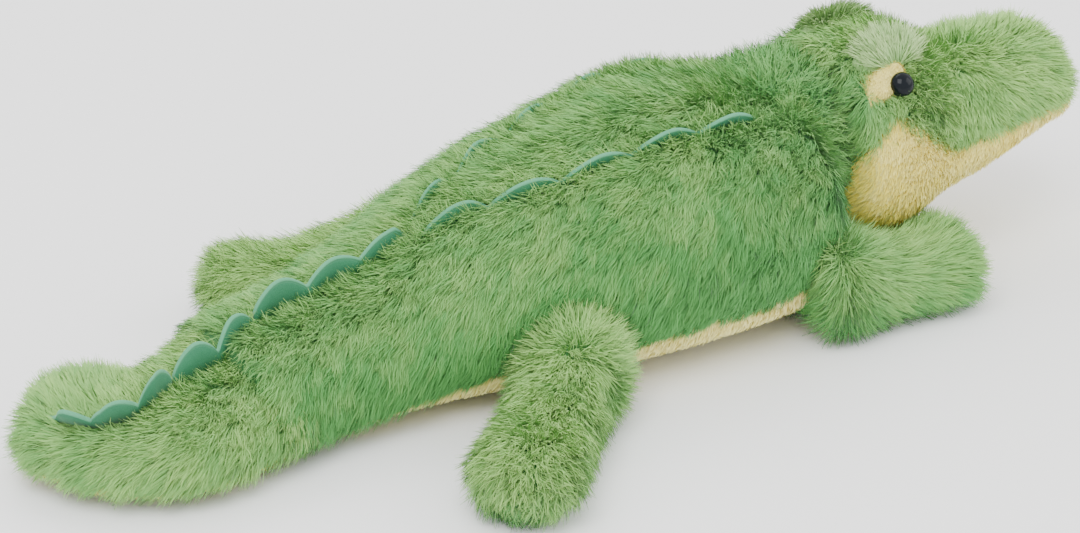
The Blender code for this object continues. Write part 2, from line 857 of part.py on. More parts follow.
def make_brow(pool, name, stations, angle, rest, origin):
    """A pale tuft that sits on the head over an eye."""
    point, outward, forward = head_spot(stations, brow_share, angle)
    middle = point - outward * brow_sink
    bm = bmesh.new()
    bmesh.ops.create_uvsphere(
        bm, u_segments=turned_steps // 3, v_segments=turned_steps // 4, radius=1
    )
    size = Vector((brow_half_length, brow_half_height, brow_half_depth))
    bmesh.ops.scale(bm, verts=bm.verts, vec=size)
    bmesh.ops.transform(bm, matrix=facing_matrix(middle, outward, forward), verts=bm.verts)
    brow = finish_object(bm, name, pool.pale, pool.parts, origin)
    boolean(brow, rest)
    return brow


def leg_stations(axis, heading, reach):
    direction = Vector((math.cos(math.radians(heading)), math.sin(math.radians(heading)), 0))
    rows = rows_between(leg_shares, 0.0, 1.0, leg_rings)
    for row in rows:
        row[0] = row[0] * (leg_root_depth + reach) - leg_root_depth
    stations = place_rows(rows, axis, direction, 0.0, leg_half_width, leg_height)
    return rounded(stations, leg_round)


def make_leg(pool, name, axis, heading, reach, turn_range, sense, envelope):
    """A leg with its sole, cut by the trunk all the way round its swing."""
    spine = leg_stations(axis, heading, reach)
    rings = dome(spine[0], -leg_root_dome) + spine + dome(spine[-1], foot_dome)
    angles = whole_angles(sole_seam_angle, limb_upper_steps)
    body = loft(name, rings, angles, 0.0, pool.green, pool.parts, axis)
    lower = rings[2:-2]
    swings = swing_cutters(f"{name}_swing", envelope, axis, turn_range, sense, pool)
    for cutter in swings:
        boolean(body, cutter)
    under = [under_angles(sole_seam_angle)] * len(lower)
    sole = inlaid_panel(f"{name}_sole", body, lower, under, pool)
    for cutter in swings:
        boolean(sole, cutter)


def make_legs(pool, envelope):
    rear_right = Vector((rear_right_leg_forward, -rear_right_leg_side, 0))
    rear_left = Vector((rear_left_leg_forward, rear_left_leg_side, 0))
    fore_right = Vector((fore_leg_forward, -fore_leg_side, 0))
    fore_left = Vector((fore_leg_forward, fore_leg_side, 0))
    for name, axis, heading, reach, turn_range, sense in (
        ("rear_right_leg", rear_right, rear_right_heading, rear_leg_reach, rear_right_range, 1),
        ("rear_left_leg", rear_left, rear_left_heading, rear_leg_reach, rear_left_range, -1),
        ("fore_right_leg", fore_right, fore_right_heading, fore_leg_reach, fore_range, -1),
        ("fore_left_leg", fore_left, fore_left_heading, fore_leg_reach, fore_range, 1),
    ):
        make_leg(pool, name, axis, heading, reach, turn_range, sense, envelope)


def main():
    clear_scene()
    pool = Pool()
    trunk, belly, envelope = make_trunk(pool)
    make_tail(pool, (trunk, belly))
    seat = make_neck(pool, (trunk, belly))
    make_head(pool, seat)
    make_legs(pool, envelope)
    bpy.context.view_layer.update()


main()
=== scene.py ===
"""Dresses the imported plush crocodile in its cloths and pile.

Every form is a row of rings along a centre line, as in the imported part. A padded backing takes the
place of each solid, long pile grows from the green backings and short nap from the yellow panels,
and velour crests, brow tufts and glossy eyes finish it. A ring's angle 0 is on the crocodile's
left and a quarter turn is its top.
"""

import json
import logging
import math
from dataclasses import astuple, dataclass, field, replace
from enum import Enum
from typing import Callable, Sequence

import bmesh
import bpy
import numpy as np
from mathutils import Matrix, Vector

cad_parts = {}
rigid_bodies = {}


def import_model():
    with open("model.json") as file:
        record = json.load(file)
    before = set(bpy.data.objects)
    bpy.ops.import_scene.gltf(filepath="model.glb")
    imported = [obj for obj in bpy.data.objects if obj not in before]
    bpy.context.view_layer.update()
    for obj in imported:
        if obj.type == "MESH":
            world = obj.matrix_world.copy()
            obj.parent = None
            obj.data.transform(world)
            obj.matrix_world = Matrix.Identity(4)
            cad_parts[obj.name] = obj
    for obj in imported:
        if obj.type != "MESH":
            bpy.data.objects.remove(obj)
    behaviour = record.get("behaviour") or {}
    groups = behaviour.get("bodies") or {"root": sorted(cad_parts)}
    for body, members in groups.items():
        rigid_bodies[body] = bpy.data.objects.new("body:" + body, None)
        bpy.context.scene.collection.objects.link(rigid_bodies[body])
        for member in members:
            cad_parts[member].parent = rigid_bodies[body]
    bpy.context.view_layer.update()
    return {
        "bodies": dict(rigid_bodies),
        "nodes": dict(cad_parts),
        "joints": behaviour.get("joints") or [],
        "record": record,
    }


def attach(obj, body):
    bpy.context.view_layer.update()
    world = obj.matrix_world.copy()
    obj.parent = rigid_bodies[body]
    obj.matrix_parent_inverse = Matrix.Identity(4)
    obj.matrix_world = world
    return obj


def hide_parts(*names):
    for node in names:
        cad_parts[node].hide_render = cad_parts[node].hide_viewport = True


LOG = logging.getLogger("plush_crocodile")
MM = 0.001
TOP = 90.0
BAKE_MAP = "OFBake"
Thing = bpy.types.Object
Node = bpy.types.Node
Socket = bpy.types.NodeSocket
Material = bpy.types.Material
Row = tuple[float, ...]
Colour = tuple[float, float, float]
BLACK: Colour = (0.0, 0.0, 0.0)
WHITE: Colour = (1.0, 1.0, 1.0)


class Side(Enum):
    """A side of the crocodile, as the sign of its angle from the top."""

    LEFT = -1
    RIGHT = 1

    @property
    def word(self) -> str:
        """The side's name in lower case."""
        return self.name.lower()

    def angle(self, right: float) -> float:
        """The angle on this side that mirrors one on the right."""
        return TOP + self.value * (right - TOP)


class Slot(Enum):
    """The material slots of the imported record."""

    PILE = "long_pile_green"
    NAP = "short_pile_yellow"
    VELOUR = "crest_velour_teal"
    BROW = "brow_pile_pale"
    EYE = "eye_black"
    PLASTIC = "washer_plastic"


class Mesher(Enum):
    """How a row of points closes, as how many faces it has beyond one between neighbours."""

    OPEN = 0
    LOOP = 1


# Materials


class NodeGraph:
    """A node tree under construction."""

    def __init__(self, tree: bpy.types.NodeTree) -> None:
        """Takes up the tree that nodes are added to."""
        self.nodes, self.links = tree.nodes, tree.links

    def add(self, kind: str, inputs: dict | None = None, **settings: object) -> Node:
        """Adds a node.

        Args:
            kind: The node's type.
            inputs: Values or sockets by input name or number.
            settings: Properties of the node.

        Returns:
            The new node.
        """
        node = self.nodes.new(kind)
        for name, value in settings.items():
            setattr(node, name, value)
        for name, value in (inputs or {}).items():
            self.feed(node.inputs[name], value)
        return node

    def feed(self, socket: Socket, value: object) -> None:
        """Gives an input socket what it takes.

        Args:
            socket: The input socket.
            value: Another socket to link it to, or the value to set.
        """
        if isinstance(value, Socket):
            self.links.new(value, socket)
        else:
            socket.default_value = value


class Shader(NodeGraph):
    """A node material under construction, around its Principled BSDF."""

    def __init__(self, name: str) -> None:
        """Starts a material.

        Args:
            name: The material's name.
        """
        self.material = bpy.data.materials.new(name)
        self.material.use_nodes = True
        super().__init__(self.material.node_tree)
        self.principled = self.nodes["Principled BSDF"]

    def set(self, **values: object) -> None:
        """Sets inputs of the Principled BSDF, whose names have spaces for underscores."""
        for name, value in values.items():
            self.feed(self.principled.inputs[name.replace("_", " ")], value)

    def ramp(self, factor: Socket, stops: Sequence[tuple[float, Colour]]) -> object:
        """A colour ramp.

        Args:
            factor: The socket that drives it.
            stops: Places and linear colours, in order.

        Returns:
            Its colour socket.
        """
        node = self.add("ShaderNodeValToRGB", {"Fac": factor})
        elements = node.color_ramp.elements
        while len(elements) < len(stops):
            elements.new(0.5)
        for element, (place, colour) in zip(elements, stops):
            element.position = place
            element.color = (*colour, 1.0)
        return node.outputs["Color"]

    def spread(self, factor: object, low: float, high: float) -> object:
        """A factor stretched between two of its values, as a grey socket."""
        return self.ramp(factor, ((low, BLACK), (high, WHITE)))

    def mix(self, factor: object, one: object, two: object) -> object:
        """A colour between two others.

        Args:
            factor: Socket or number.
            one: Colour socket or colour.
            two: Colour socket or colour.

        Returns:
            The mixed colour socket.
        """
        node = self.add("ShaderNodeMix", {"Factor": factor}, data_type="RGBA")
        for socket, value in ((node.inputs[6], one), (node.inputs[7], two)):
            self.feed(socket, (*value, 1.0) if isinstance(value, tuple) else value)
        return node.outputs[2]

    def noise(self, scale: float, detail: float = 2.0, roughness: float = 0.5) -> object:
        """Noise on Object coordinates.

        Args:
            scale: How fine it is.
            detail: How many finer layers it has.
            roughness: How strong the finer layers are.

        Returns:
            Its number socket.
        """
        place = self.add("ShaderNodeTexCoord").outputs["Object"]
        values = {"Vector": place, "Scale": scale, "Detail": detail, "Roughness": roughness}
        return self.add("ShaderNodeTexNoise", values).outputs["Fac"]

    def bump(self, height: object, strength: float, distance: float) -> None:
        """Gives the surface a bump from a height socket."""
        values = {"Strength": strength, "Distance": distance, "Height": height}
        self.set(Normal=self.add("ShaderNodeBump", values).outputs["Normal"])


@dataclass(frozen=True)
class PileFinish:
    """Fibres darker at the root as painted shade deep in the pile, in tones that differ from lock to lock and
    carry painted shade from each lay.
    """

    name: str
    deep: tuple[Colour, Colour, Colour]
    pale: tuple[Colour, Colour, Colour]
    places: tuple[float, float, float] = (0.0, 0.55, 1.0)
    roughness: float = 0.75
    sheen: float = 0.12

    def material(self) -> Material:
        """The finish, read from the strand map: across is the tone, up is root to tip.

        Returns:
            The material.
        """
        shader = Shader(self.name)
        strand = shader.add("ShaderNodeUVMap", uv_map=BAKE_MAP).outputs["UV"]
        parts = shader.add("ShaderNodeSeparateXYZ", {"Vector": strand}).outputs
        # Low tones pick the deep ramp, both for darker locks and for the painted shade of each lay; a darker
        # root is painted shade deep in the pile.
        deep = shader.ramp(parts["Y"], tuple(zip(self.places, self.deep)))
        pale = shader.ramp(parts["Y"], tuple(zip(self.places, self.pale)))
        shader.set(Base_Color=shader.mix(parts["X"], deep, pale))
        shader.set(Roughness=self.roughness, Sheen_Weight=self.sheen, Sheen_Roughness=0.5)
        shader.set(Specular_IOR_Level=0.2)
        return shader.material


@dataclass(frozen=True)
class ClothFinish:
    """A knitted or napped cloth with cloudy colour and a fine grain."""

    name: str
    base: Colour
    cloud: Colour
    grain: float
    grain_depth: float
    sheen: float = 0.3
    cloud_scale: float = 28.0
    shadow: float = 0.72

    def material(self) -> Material:
        """The finish, with painted shade in the hollows of its grain.

        Returns:
            The material.
        """
        shader = Shader(self.name)
        cloud = shader.noise(self.cloud_scale, 3.0)
        fine = shader.noise(self.grain, 4.0, 0.7)
        tint = shader.mix(cloud, self.base, self.cloud)
        # Painted shade: the base darkened by the shadow factor where the grain's noise is low, in its
        # hollows.
        dark = tuple(self.shadow * part for part in self.base)
        shader.set(Base_Color=shader.mix(shader.spread(fine, 0.35, 0.6), dark, tint))
        shader.set(Roughness=0.9, Sheen_Weight=self.sheen, Specular_IOR_Level=0.2)
        shader.bump(fine, 0.6, self.grain_depth)
        return shader.material


@dataclass(frozen=True)
class VelourFinish:
    """Short velour in darker and paler clouds, paler along its free edge."""

    name: str
    base: Colour
    shade: Colour
    edge: Colour
    cloud_scale: float = 90.0
    fibre_scale: float = 2600.0
    fibre_depth: float = 0.15 * MM

    def material(self) -> Material:
        """The finish, whose edge tint reads the ribbon's rim attribute.

        Returns:
            The material.
        """
        shader = Shader(self.name)
        rim = shader.add("ShaderNodeAttribute", attribute_name="rim").outputs["Fac"]
        cloud = shader.noise(self.cloud_scale, 3.0)
        fine = shader.noise(self.fibre_scale, 2.0)
        body = shader.mix(cloud, self.shade, self.base)
        tint = shader.mix(shader.spread(rim, 0.55, 0.95), body, self.edge)
        fibres = shader.ramp(fine, ((0.3, self.shade), (0.7, self.edge)))
        shader.set(Base_Color=shader.mix(0.25, tint, fibres))
        shader.set(Roughness=0.9, Sheen_Weight=0.12, Sheen_Roughness=0.4, Specular_IOR_Level=0.1)
        shader.bump(fine, 0.5, self.fibre_depth)
        return shader.material


@dataclass(frozen=True)
class GlossFinish:
    """Moulded plastic: a glossy eye or a dull washer."""

    name: str
    base: Colour
    tint: Colour
    roughness: float
    cloud_scale: float = 260.0
    ripple: float = 0.1 * MM

    def material(self) -> Material:
        """The finish, with faint clouds and a very shallow ripple.

        Returns:
            The material.
        """
        shader = Shader(self.name)
        cloud = shader.noise(self.cloud_scale, 2.0)
        shader.set(Base_Color=shader.mix(cloud, self.base, self.tint))
        shader.set(Roughness=self.roughness, Specular_IOR_Level=0.14)
        shader.bump(cloud, 0.05, self.ripple)
        return shader.material


@dataclass(frozen=True)
class FloorFinish:
    """The plain pale floor."""

    name: str = "pale_floor"
    base: Colour = (0.93, 0.93, 0.93)

    def material(self) -> Material:
        """The finish as a matt material.

        Returns:
            The material.
        """
        shader = Shader(self.name)
        shader.set(Base_Color=(*self.base, 1.0), Roughness=0.9, Specular_IOR_Level=0.1)
        return shader.material


@dataclass(frozen=True)
class Finishes:
    """Every finish of the crocodile, made once."""

    pile: Material
    brow: Material
    nap: Material
    backing: Material
    pad: Material
    yellow: Material
    velour: Material
    eye: Material
    plastic: Material

    @classmethod
    def make(cls) -> "Finishes":
        """Builds the materials.

        Returns:
            The finishes, each with its material.
        """
        return cls(
            pile=PileFinish(
                Slot.PILE.value,
                ((0.125, 0.385, 0.115), (0.100, 0.345, 0.085), (0.090, 0.320, 0.074)),
                ((0.320, 0.570, 0.185), (0.310, 0.570, 0.155), (0.410, 0.660, 0.190)),
            ).material(),
            brow=PileFinish(
                Slot.BROW.value,
                ((0.200, 0.420, 0.130), (0.290, 0.510, 0.180), (0.400, 0.600, 0.240)),
                ((0.330, 0.530, 0.190), (0.440, 0.620, 0.255), (0.610, 0.735, 0.360)),
            ).material(),
            nap=PileFinish(
                Slot.NAP.value,
                ((0.660, 0.520, 0.060), (0.780, 0.660, 0.100), (0.830, 0.730, 0.130)),
                ((0.840, 0.750, 0.230), (0.920, 0.850, 0.340), (0.970, 0.920, 0.440)),
            ).material(),
            backing=ClothFinish(
                "green_backing", (0.045, 0.190, 0.055), (0.070, 0.250, 0.070), 1500.0, 0.4 * MM
            ).material(),
            pad=ClothFinish(
                "brow_cloth", (0.260, 0.460, 0.160), (0.330, 0.520, 0.210), 1500.0, 0.4 * MM
            ).material(),
            yellow=ClothFinish(
                "yellow_plush", (0.800, 0.700, 0.180), (0.880, 0.800, 0.260), 1800.0, 0.25 * MM
            ).material(),
            velour=VelourFinish(
                Slot.VELOUR.value, (0.040, 0.205, 0.105), (0.025, 0.148, 0.072), (0.105, 0.345, 0.200)
            ).material(),
            eye=GlossFinish(
                Slot.EYE.value, (0.003, 0.005, 0.007), (0.006, 0.008, 0.011), 0.10
            ).material(),
            plastic=GlossFinish(
                Slot.PLASTIC.value, (0.68, 0.68, 0.64), (0.74, 0.74, 0.70), 0.45
            ).material(),
        )


# Forms


def row_at(rows: Sequence[Row], place: float) -> list[float]:
    """Reads a table along the smooth curve through its rows.

    Args:
        rows: Rows whose first value is their place.
        place: Where to read.

    Returns:
        The row at that place.
    """
    at = max([i for i in range(len(rows) - 1) if rows[i][0] <= place] or [0])
    one, two = rows[at], rows[at + 1]
    before, after = rows[max(at - 1, 0)], rows[min(at + 2, len(rows) - 1)]
    span = two[0] - one[0]
    t = (place - one[0]) / span
    row = []
    for a, b, c, d in zip(before, one, two, after):
        lead = (c - a) / (two[0] - before[0]) * span
        trail = (d - b) / (after[0] - one[0]) * span
        swell = (t**3 - 2 * t**2 + t) * lead + (t**3 - t**2) * trail
        row.append(b + (c - b) * (3 * t**2 - 2 * t**3) + swell)
    return row


@dataclass(frozen=True)
class Ring:
    """One cross-section of a form.

    It stands on its foot, goes out to its width on either side, and is widest at its waist, between
    its low and high level. Upper and lower are the exponents of its two halves. On a dome, reach is
    how far the dome stands out and turn is how far round it the ring lies.
    """

    foot: Vector
    heading: Vector
    left: Vector
    wide: float
    low: float
    waist: float
    high: float
    upper: float
    lower: float
    reach: float = 0.0
    turn: float = 0.0
    share: float = 0.0

    def point(self, angle: float, depth: float = 0.0) -> Vector:
        """A point of the ring.

        Args:
            angle: Degrees round the ring.
            depth: How far inside the pile's tips it lies.

        Returns:
            The point, which is never under the floor.
        """
        sine, cosine = math.sin(math.radians(angle)), math.cos(math.radians(angle))
        above = sine > 0
        roundness = self.upper if above else self.lower
        rise = max((self.high - self.waist if above else self.waist - self.low) - depth, MM)
        wide = max(self.wide - depth, MM)
        across = wide * math.cos(self.turn) * math.copysign(abs(cosine) ** (2 / self.upper), cosine)
        ratio = min(math.hypot(math.sin(self.turn), across / wide), 1.0)
        lift = rise * (1 - ratio**roundness) ** (1 / roundness)
        along = (abs(self.reach) - depth) * math.sin(self.turn)
        point = self.foot + self.heading * math.copysign(along, self.reach) + self.left * across
        point.z = max(self.waist + (lift if above else -lift), 0.0)
        return point

    def pole(self, depth: float = 0.0) -> Vector:
        """The tip of the dome that the ring belongs to.

        Args:
            depth: How far inside the pile's tips it lies.

        Returns:
            The tip.
        """
        point = self.foot + self.heading * math.copysign(abs(self.reach) - depth, self.reach)
        point.z = self.waist
        return point


@dataclass(frozen=True)
class Form:
    """A stuffed form, given by a table of shares along its centre line.

    A table row holds its place, sideways share, half-width, lowest and highest share.
    """

    shares: tuple[Row, ...]
    start: Vector
    along: Vector
    length: float
    aside: float
    wide: float
    tall: float
    upper: float
    lower: float
    mirrored: bool = False
    first: float = 0.0
    last: float = 1.0
    rear_dome: float = 12 * MM
    front_dome: float = 22 * MM
    waist_share: float = 0.44
    sunk: float = 0.5 * MM
    step: float = 0.03
    roundness: float = 2.2

    def centre(self, share: float) -> Vector:
        """The point of the centre line on the ground.

        Args:
            share: The place in the table.

        Returns:
            The point.
        """
        row = row_at(self.shares, share)
        across = Vector((-self.along.y, self.along.x, 0))
        return self.start + self.along * (row[0] * self.length) + across * (row[1] * self.aside)

    def ring(self, share: float) -> Ring:
        """The cross-section at a place.

        Args:
            share: The place in the table.

        Returns:
            The cross-section.
        """
        row = row_at(self.shares, share)
        ahead = self.centre(min(share, self.last) + self.step) - self.centre(share - self.step)
        heading = ahead.normalized()
        left = Vector((-heading.y, heading.x, 0)) * (-1 if self.mirrored else 1)
        low = max(row[3], 0.0) * self.tall - (self.sunk if row[3] <= 0.001 else 0.0)
        high = row[4] * self.tall
        waist = low + (high - low) * self.waist_share
        wide = row[2] * self.wide
        return Ring(
            self.centre(share), heading, left, wide, low, waist, high, self.upper, self.lower, share=share
        )

    def holds(self, point: Vector, margin: float) -> bool:
        """Whether a point lies inside the form.

        Args:
            point: The point.
            margin: How far inside it has to lie, or how far outside it may, below zero.

        Returns:
            True where it does.
        """
        share = (point - self.start).dot(self.along) / self.length
        near = min(max(share, self.first), self.last)
        ring = self.ring(near)
        over = (share - near) * self.length
        reach = (self.front_dome if over > 0 else self.rear_dome) - margin
        side = abs((point - ring.foot).dot(ring.left)) / (ring.wide - margin)
        rise = point.z - ring.waist
        lift = rise / (ring.high - ring.waist - margin) if rise > 0 else -rise / (ring.waist - ring.low)
        return reach > 0 and side**self.roundness + lift**self.roundness + (over / reach) ** 2 < 1

    def rings(self, count: int) -> list[Ring]:
        """Evenly spaced cross-sections between the form's first and last share."""
        return [self.ring(share) for share in np.linspace(self.first, self.last, count)]


LAST_DOME_TURN = 84.0


def dome(ring: Ring, reach: float, count: int) -> list[Ring]:
    """Rings that round off an end.

    Args:
        ring: The end's ring.
        reach: How far the dome stands out, below zero for a rear end.
        count: How many rings.

    Returns:
        The rings, in order along the form.
    """
    turns = np.linspace(0, LAST_DOME_TURN, count + 1)[1:]
    rings = [replace(ring, reach=reach, turn=math.radians(turn)) for turn in turns]
    return rings if reach > 0 else rings[::-1]


def over_angles(seam: float, count: int) -> np.ndarray:
    """Angles from the left seam over the top to the right one."""
    return np.linspace(-seam, 180 + seam, count)


def under_angles(seam: float, count: int) -> np.ndarray:
    """Angles from the right seam under the form to the left one."""
    return np.linspace(-180 + seam, -seam, count)


def ring_points(rings: Sequence[Ring], angles: Sequence[np.ndarray], depth: float) -> np.ndarray:
    """Points of a grid, as rows by columns by three."""
    rows = [[ring.point(angle, depth) for angle in row] for ring, row in zip(rings, angles)]
    return np.array(rows, float)


def unit(vectors: np.ndarray) -> np.ndarray:
    """Vectors of length one."""
    return vectors / np.maximum(np.linalg.norm(vectors, axis=-1, keepdims=True), 1e-12)


def mesh_object(name: str, points: np.ndarray, faces: Sequence[Sequence[int]]) -> Thing:
    """A smooth mesh object at the origin.

    Args:
        name: The object's name.
        points: Its points, in any grid.
        faces: The numbers of each face's points.

    Returns:
        The object.
    """
    mesh = bpy.data.meshes.new(name)
    mesh.from_pydata(np.asarray(points).reshape(-1, 3).tolist(), [], [list(face) for face in faces])
    mesh.shade_smooth()
    thing = bpy.data.objects.new(name, mesh)
    bpy.context.scene.collection.objects.link(thing)
    return thing


def face_outwards(thing: Thing) -> Thing:
    """Merges doubles and turns the faces of a closed mesh outwards.

    Args:
        thing: The object.

    Returns:
        The same object.
    """
    bm = bmesh.new()
    bm.from_mesh(thing.data)
    bmesh.ops.remove_doubles(bm, verts=bm.verts, dist=0.01 * MM)
    bmesh.ops.recalc_face_normals(bm, faces=bm.faces)
    bm.to_mesh(thing.data)
    bm.free()
    thing.data.shade_smooth()
    return thing


def write_attribute(mesh: bpy.types.Mesh, name: str, values: np.ndarray) -> None:
    """Stores a number or a vector on every point of a mesh.

    Args:
        mesh: The mesh.
        name: The attribute's name.
        values: A number or a row of three for each point.
    """
    kind, key = ("FLOAT_VECTOR", "vector") if values.ndim > 1 else ("FLOAT", "value")
    attribute = mesh.attributes.new(name, kind, "POINT")
    attribute.data.foreach_set(key, values.astype(np.float32).ravel())


def grid_faces(rows: int, columns: int, close: Mesher) -> list[tuple[int, ...]]:
    """Faces of a grid of points.

    Args:
        rows: Rows of points.
        columns: Points in a row.
        close: Whether each row closes on itself.

    Returns:
        The faces.
    """
    faces = []
    for i in range(rows - 1):
        row, above = i * columns, (i + 1) * columns
        for j in range(columns - 1 + close.value):
            k = (j + 1) % columns
            faces.append((row + j, row + k, above + k, above + j))
    return faces


def backing_object(name: str, rings: Sequence[Ring], depth: float, columns: int = 64) -> Thing:
    """A closed padded form through rings, whose two ends are domes.

    Args:
        name: The object's name.
        rings: The rings, domes included.
        depth: How far inside the pile's tips it lies.
        columns: Points in a ring.

    Returns:
        The object.
    """
    angles = [np.linspace(-90, 270, columns, endpoint=False)] * len(rings)
    points = ring_points(rings, angles, depth)
    faces = grid_faces(len(rings), columns, Mesher.LOOP)
    count = len(rings) * columns
    poles = np.array([rings[0].pole(depth), rings[-1].pole(depth)])
    for pole, first in ((count, 0), (count + 1, count - columns)):
        for j in range(columns):
            faces.append((first + j, first + (j + 1) % columns, pole))
    return face_outwards(mesh_object(name, np.vstack([points.reshape(-1, 3), poles]), faces))


def panel_object(name: str, outer: np.ndarray, inner: np.ndarray) -> Thing:
    """A closed panel between two grids of points, with a rim all round.

    Args:
        name: The object's name.
        outer: The grid of its face.
        inner: The grid of its back.

    Returns:
        The object.
    """
    rows, columns = outer.shape[:2]
    faces = grid_faces(rows, columns, Mesher.OPEN)
    count = rows * columns
    faces += [tuple(count + i for i in face[::-1]) for face in faces]
    edge = list(range(columns))
    edge += [i * columns + columns - 1 for i in range(1, rows)]
    edge += [(rows - 1) * columns + j for j in range(columns - 2, -1, -1)]
    edge += [i * columns for i in range(rows - 2, 0, -1)]
    for a, b in zip(edge, edge[1:] + edge[:1]):
        faces.append((a, b, b + count, a + count))
    return face_outwards(mesh_object(name, np.vstack([outer.reshape(-1, 3), inner.reshape(-1, 3)]), faces))


@dataclass(frozen=True)
class Scalp:
    """A grid of points that pile grows from, and how it lies there."""

    points: np.ndarray
    comb: np.ndarray
    cover: np.ndarray
    length: np.ndarray
    tone: np.ndarray
    heart: np.ndarray = field(default_factory=lambda: np.zeros(3))

    def part(self, rows: slice, columns: slice) -> "Scalp":
        """The scalp between given rows and columns.

        Args:
            rows: The rows.
            columns: The columns.

        Returns:
            That part of the scalp.
        """
        cut = (rows, columns)
        keys = ("points", "comb", "cover", "length", "tone")
        return replace(self, **{key: getattr(self, key)[cut] for key in keys})

    def thing(self, name: str) -> Thing:
        """The scalp as a mesh that faces outwards, with its attributes.

        Args:
            name: The object's name.

        Returns:
            The object.
        """
        rows, columns = self.points.shape[:2]
        made = mesh_object(name, self.points, grid_faces(rows, columns, Mesher.OPEN))
        areas = np.array([face.normal * face.area for face in made.data.polygons])
        places = np.array([face.center for face in made.data.polygons])
        if ((places - self.heart) * areas).sum() < 0:
            made.data.flip_normals()
        for key in ("comb", "cover", "length", "tone"):
            values = getattr(self, key)
            write_attribute(made.data, key, values.reshape(-1, 3) if key == "comb" else values.ravel())
        return made


@dataclass(frozen=True)
class Lie:
    """How pile lies at a place: its comb along the form and round it, cover, length and tone."""

    along: float
    around: float
    cover: float = 1.0
    length: float = 1.0
    tone: float = 0.5


Lay = Callable[[Ring, float], Lie]


def smooth_step(value: float) -> float:
    """A smooth rise from 0 at 0 to 1 at 1."""
    value = min(max(value, 0.0), 1.0)
    return value * value * (3 - 2 * value)


def bell(offset: float, width: float) -> float:
    """A smooth bell, 1 where the offset is 0."""
    return math.exp(-((offset / width) ** 2))


def from_top(angle: float) -> float:
    """How far an angle is from the top, as a share of a quarter turn."""
    return abs(angle - TOP) / TOP


def away_from(angle: float, crest: float, width: float) -> float:
    """A smooth sign of which side of a line an angle lies on."""
    return math.tanh((angle - crest) / width)


def make_scalp(rings: Sequence[Ring], angles: Sequence[np.ndarray], depth: float, lay: Lay) -> Scalp:
    """A scalp on a form.

    Args:
        rings: The form's rings.
        angles: The angles of each ring.
        depth: How far inside the pile's tips the roots stand.
        lay: Gives how the pile lies at a ring and angle.

    Returns:
        The scalp.
    """
    points = ring_points(rings, angles, depth)
    along = unit(np.gradient(points, axis=0))
    around = unit(np.gradient(points, axis=1))
    lies = [[lay(ring, angle) for angle in row] for ring, row in zip(rings, angles)]
    values = np.array([[astuple(lie) for lie in row] for row in lies])
    comb = along * values[..., 0:1] + around * values[..., 1:2]
    heart = np.mean([(ring.foot.x, ring.foot.y, ring.waist) for ring in rings], axis=0)
    return Scalp(points, comb, values[..., 2], values[..., 3], values[..., 4], heart)


# Pile


@dataclass(frozen=True)
class Pile:
    """The sizes of a pile, in metres and in strands to the square metre."""

    density: float = 2.3e6
    length: float = 13.5 * MM
    width: float = 0.42 * MM
    upright: float = 0.43
    clump: float = 5.0 * MM
    pull: float = 0.34
    splay: float = 0.46
    stray: float = 0.27
    curl: float = 1.5 * MM


class GeometryTree(NodeGraph):
    """A Geometry Nodes tree under construction."""

    def __init__(self, name: str) -> None:
        """Starts a tree that takes and gives a geometry.

        Args:
            name: The tree's name.
        """
        self.group = bpy.data.node_groups.new(name, "GeometryNodeTree")
        super().__init__(self.group)
        self.names: dict[str, str] = {}
        for way in ("INPUT", "OUTPUT"):
            self.group.interface.new_socket("Geometry", in_out=way, socket_type="NodeSocketGeometry")
        self.source = self.nodes.new("NodeGroupInput")
        self.target = self.nodes.new("NodeGroupOutput")

    def input(self, name: str, kind: str = "NodeSocketFloat") -> Socket:
        """Adds a named input to the tree.

        Args:
            name: The input's name.
            kind: Its socket type.

        Returns:
            Its socket inside the tree.
        """
        socket = self.group.interface.new_socket(name, in_out="INPUT", socket_type=kind)
        self.names[name] = socket.identifier
        return self.source.outputs[name]

    def math(self, operation: str, one: object, two: object = 0.0, three: object = 0.0) -> Socket:
        """A number worked out from up to three others."""
        values = {0: one, 1: two, 2: three}
        return self.add("ShaderNodeMath", values, operation=operation).outputs[0]

    def vector(self, operation: str, one: object, two: object = (0, 0, 0)) -> Socket:
        """A vector worked out from two others, or a number where the operation gives one."""
        node = self.add("ShaderNodeVectorMath", {0: one, 1: two}, operation=operation)
        return node.outputs["Value" if operation in ("DOT_PRODUCT", "LENGTH") else "Vector"]

    def scaled(self, vector: object, factor: object) -> Socket:
        """A vector times a number."""
        node = self.add("ShaderNodeVectorMath", {0: vector, "Scale": factor}, operation="SCALE")
        return node.outputs["Vector"]

    def total(self, *vectors: object) -> Socket:
        """The sum of vectors.

        Args:
            vectors: The vectors.

        Returns:
            Their sum.
        """
        result = vectors[0]
        for vector in vectors[1:]:
            result = self.vector("ADD", result, vector)
        return result

    def random(self, seed: object, low: float, high: float, is_vector: bool = False) -> Socket:
        """A random number or vector for each element, from a fixed seed.

        Args:
            seed: The seed.
            low: The lowest value.
            high: The highest value.
            is_vector: Whether it gives a vector.

        Returns:
            The number or vector.
        """
        kind = "FLOAT_VECTOR" if is_vector else "FLOAT"
        first = 0 if is_vector else 2
        ends = ((low,) * 3, (high,) * 3) if is_vector else (low, high)
        values = {first: ends[0], first + 1: ends[1], "Seed": seed}
        node = self.add("FunctionNodeRandomValue", values, data_type=kind)
        return node.outputs[0 if is_vector else 1]

    def attribute(self, name: str, kind: str = "FLOAT") -> Socket:
        """A named attribute of the geometry."""
        node = self.add("GeometryNodeInputNamedAttribute", {"Name": name}, data_type=kind)
        return node.outputs["Attribute"]

    def capture(self, geometry: object, fields: dict[str, tuple[str, object]]) -> Node:
        """Keeps fields with a geometry's points, by name.

        Args:
            geometry: The geometry.
            fields: Each field's type and value, by name.

        Returns:
            The node that keeps them.
        """
        node = self.add("GeometryNodeCaptureAttribute", {"Geometry": geometry}, domain="POINT")
        for name, (kind, value) in fields.items():
            node.capture_items.new(kind, name)
            self.feed(node.inputs[name], value)
        return node


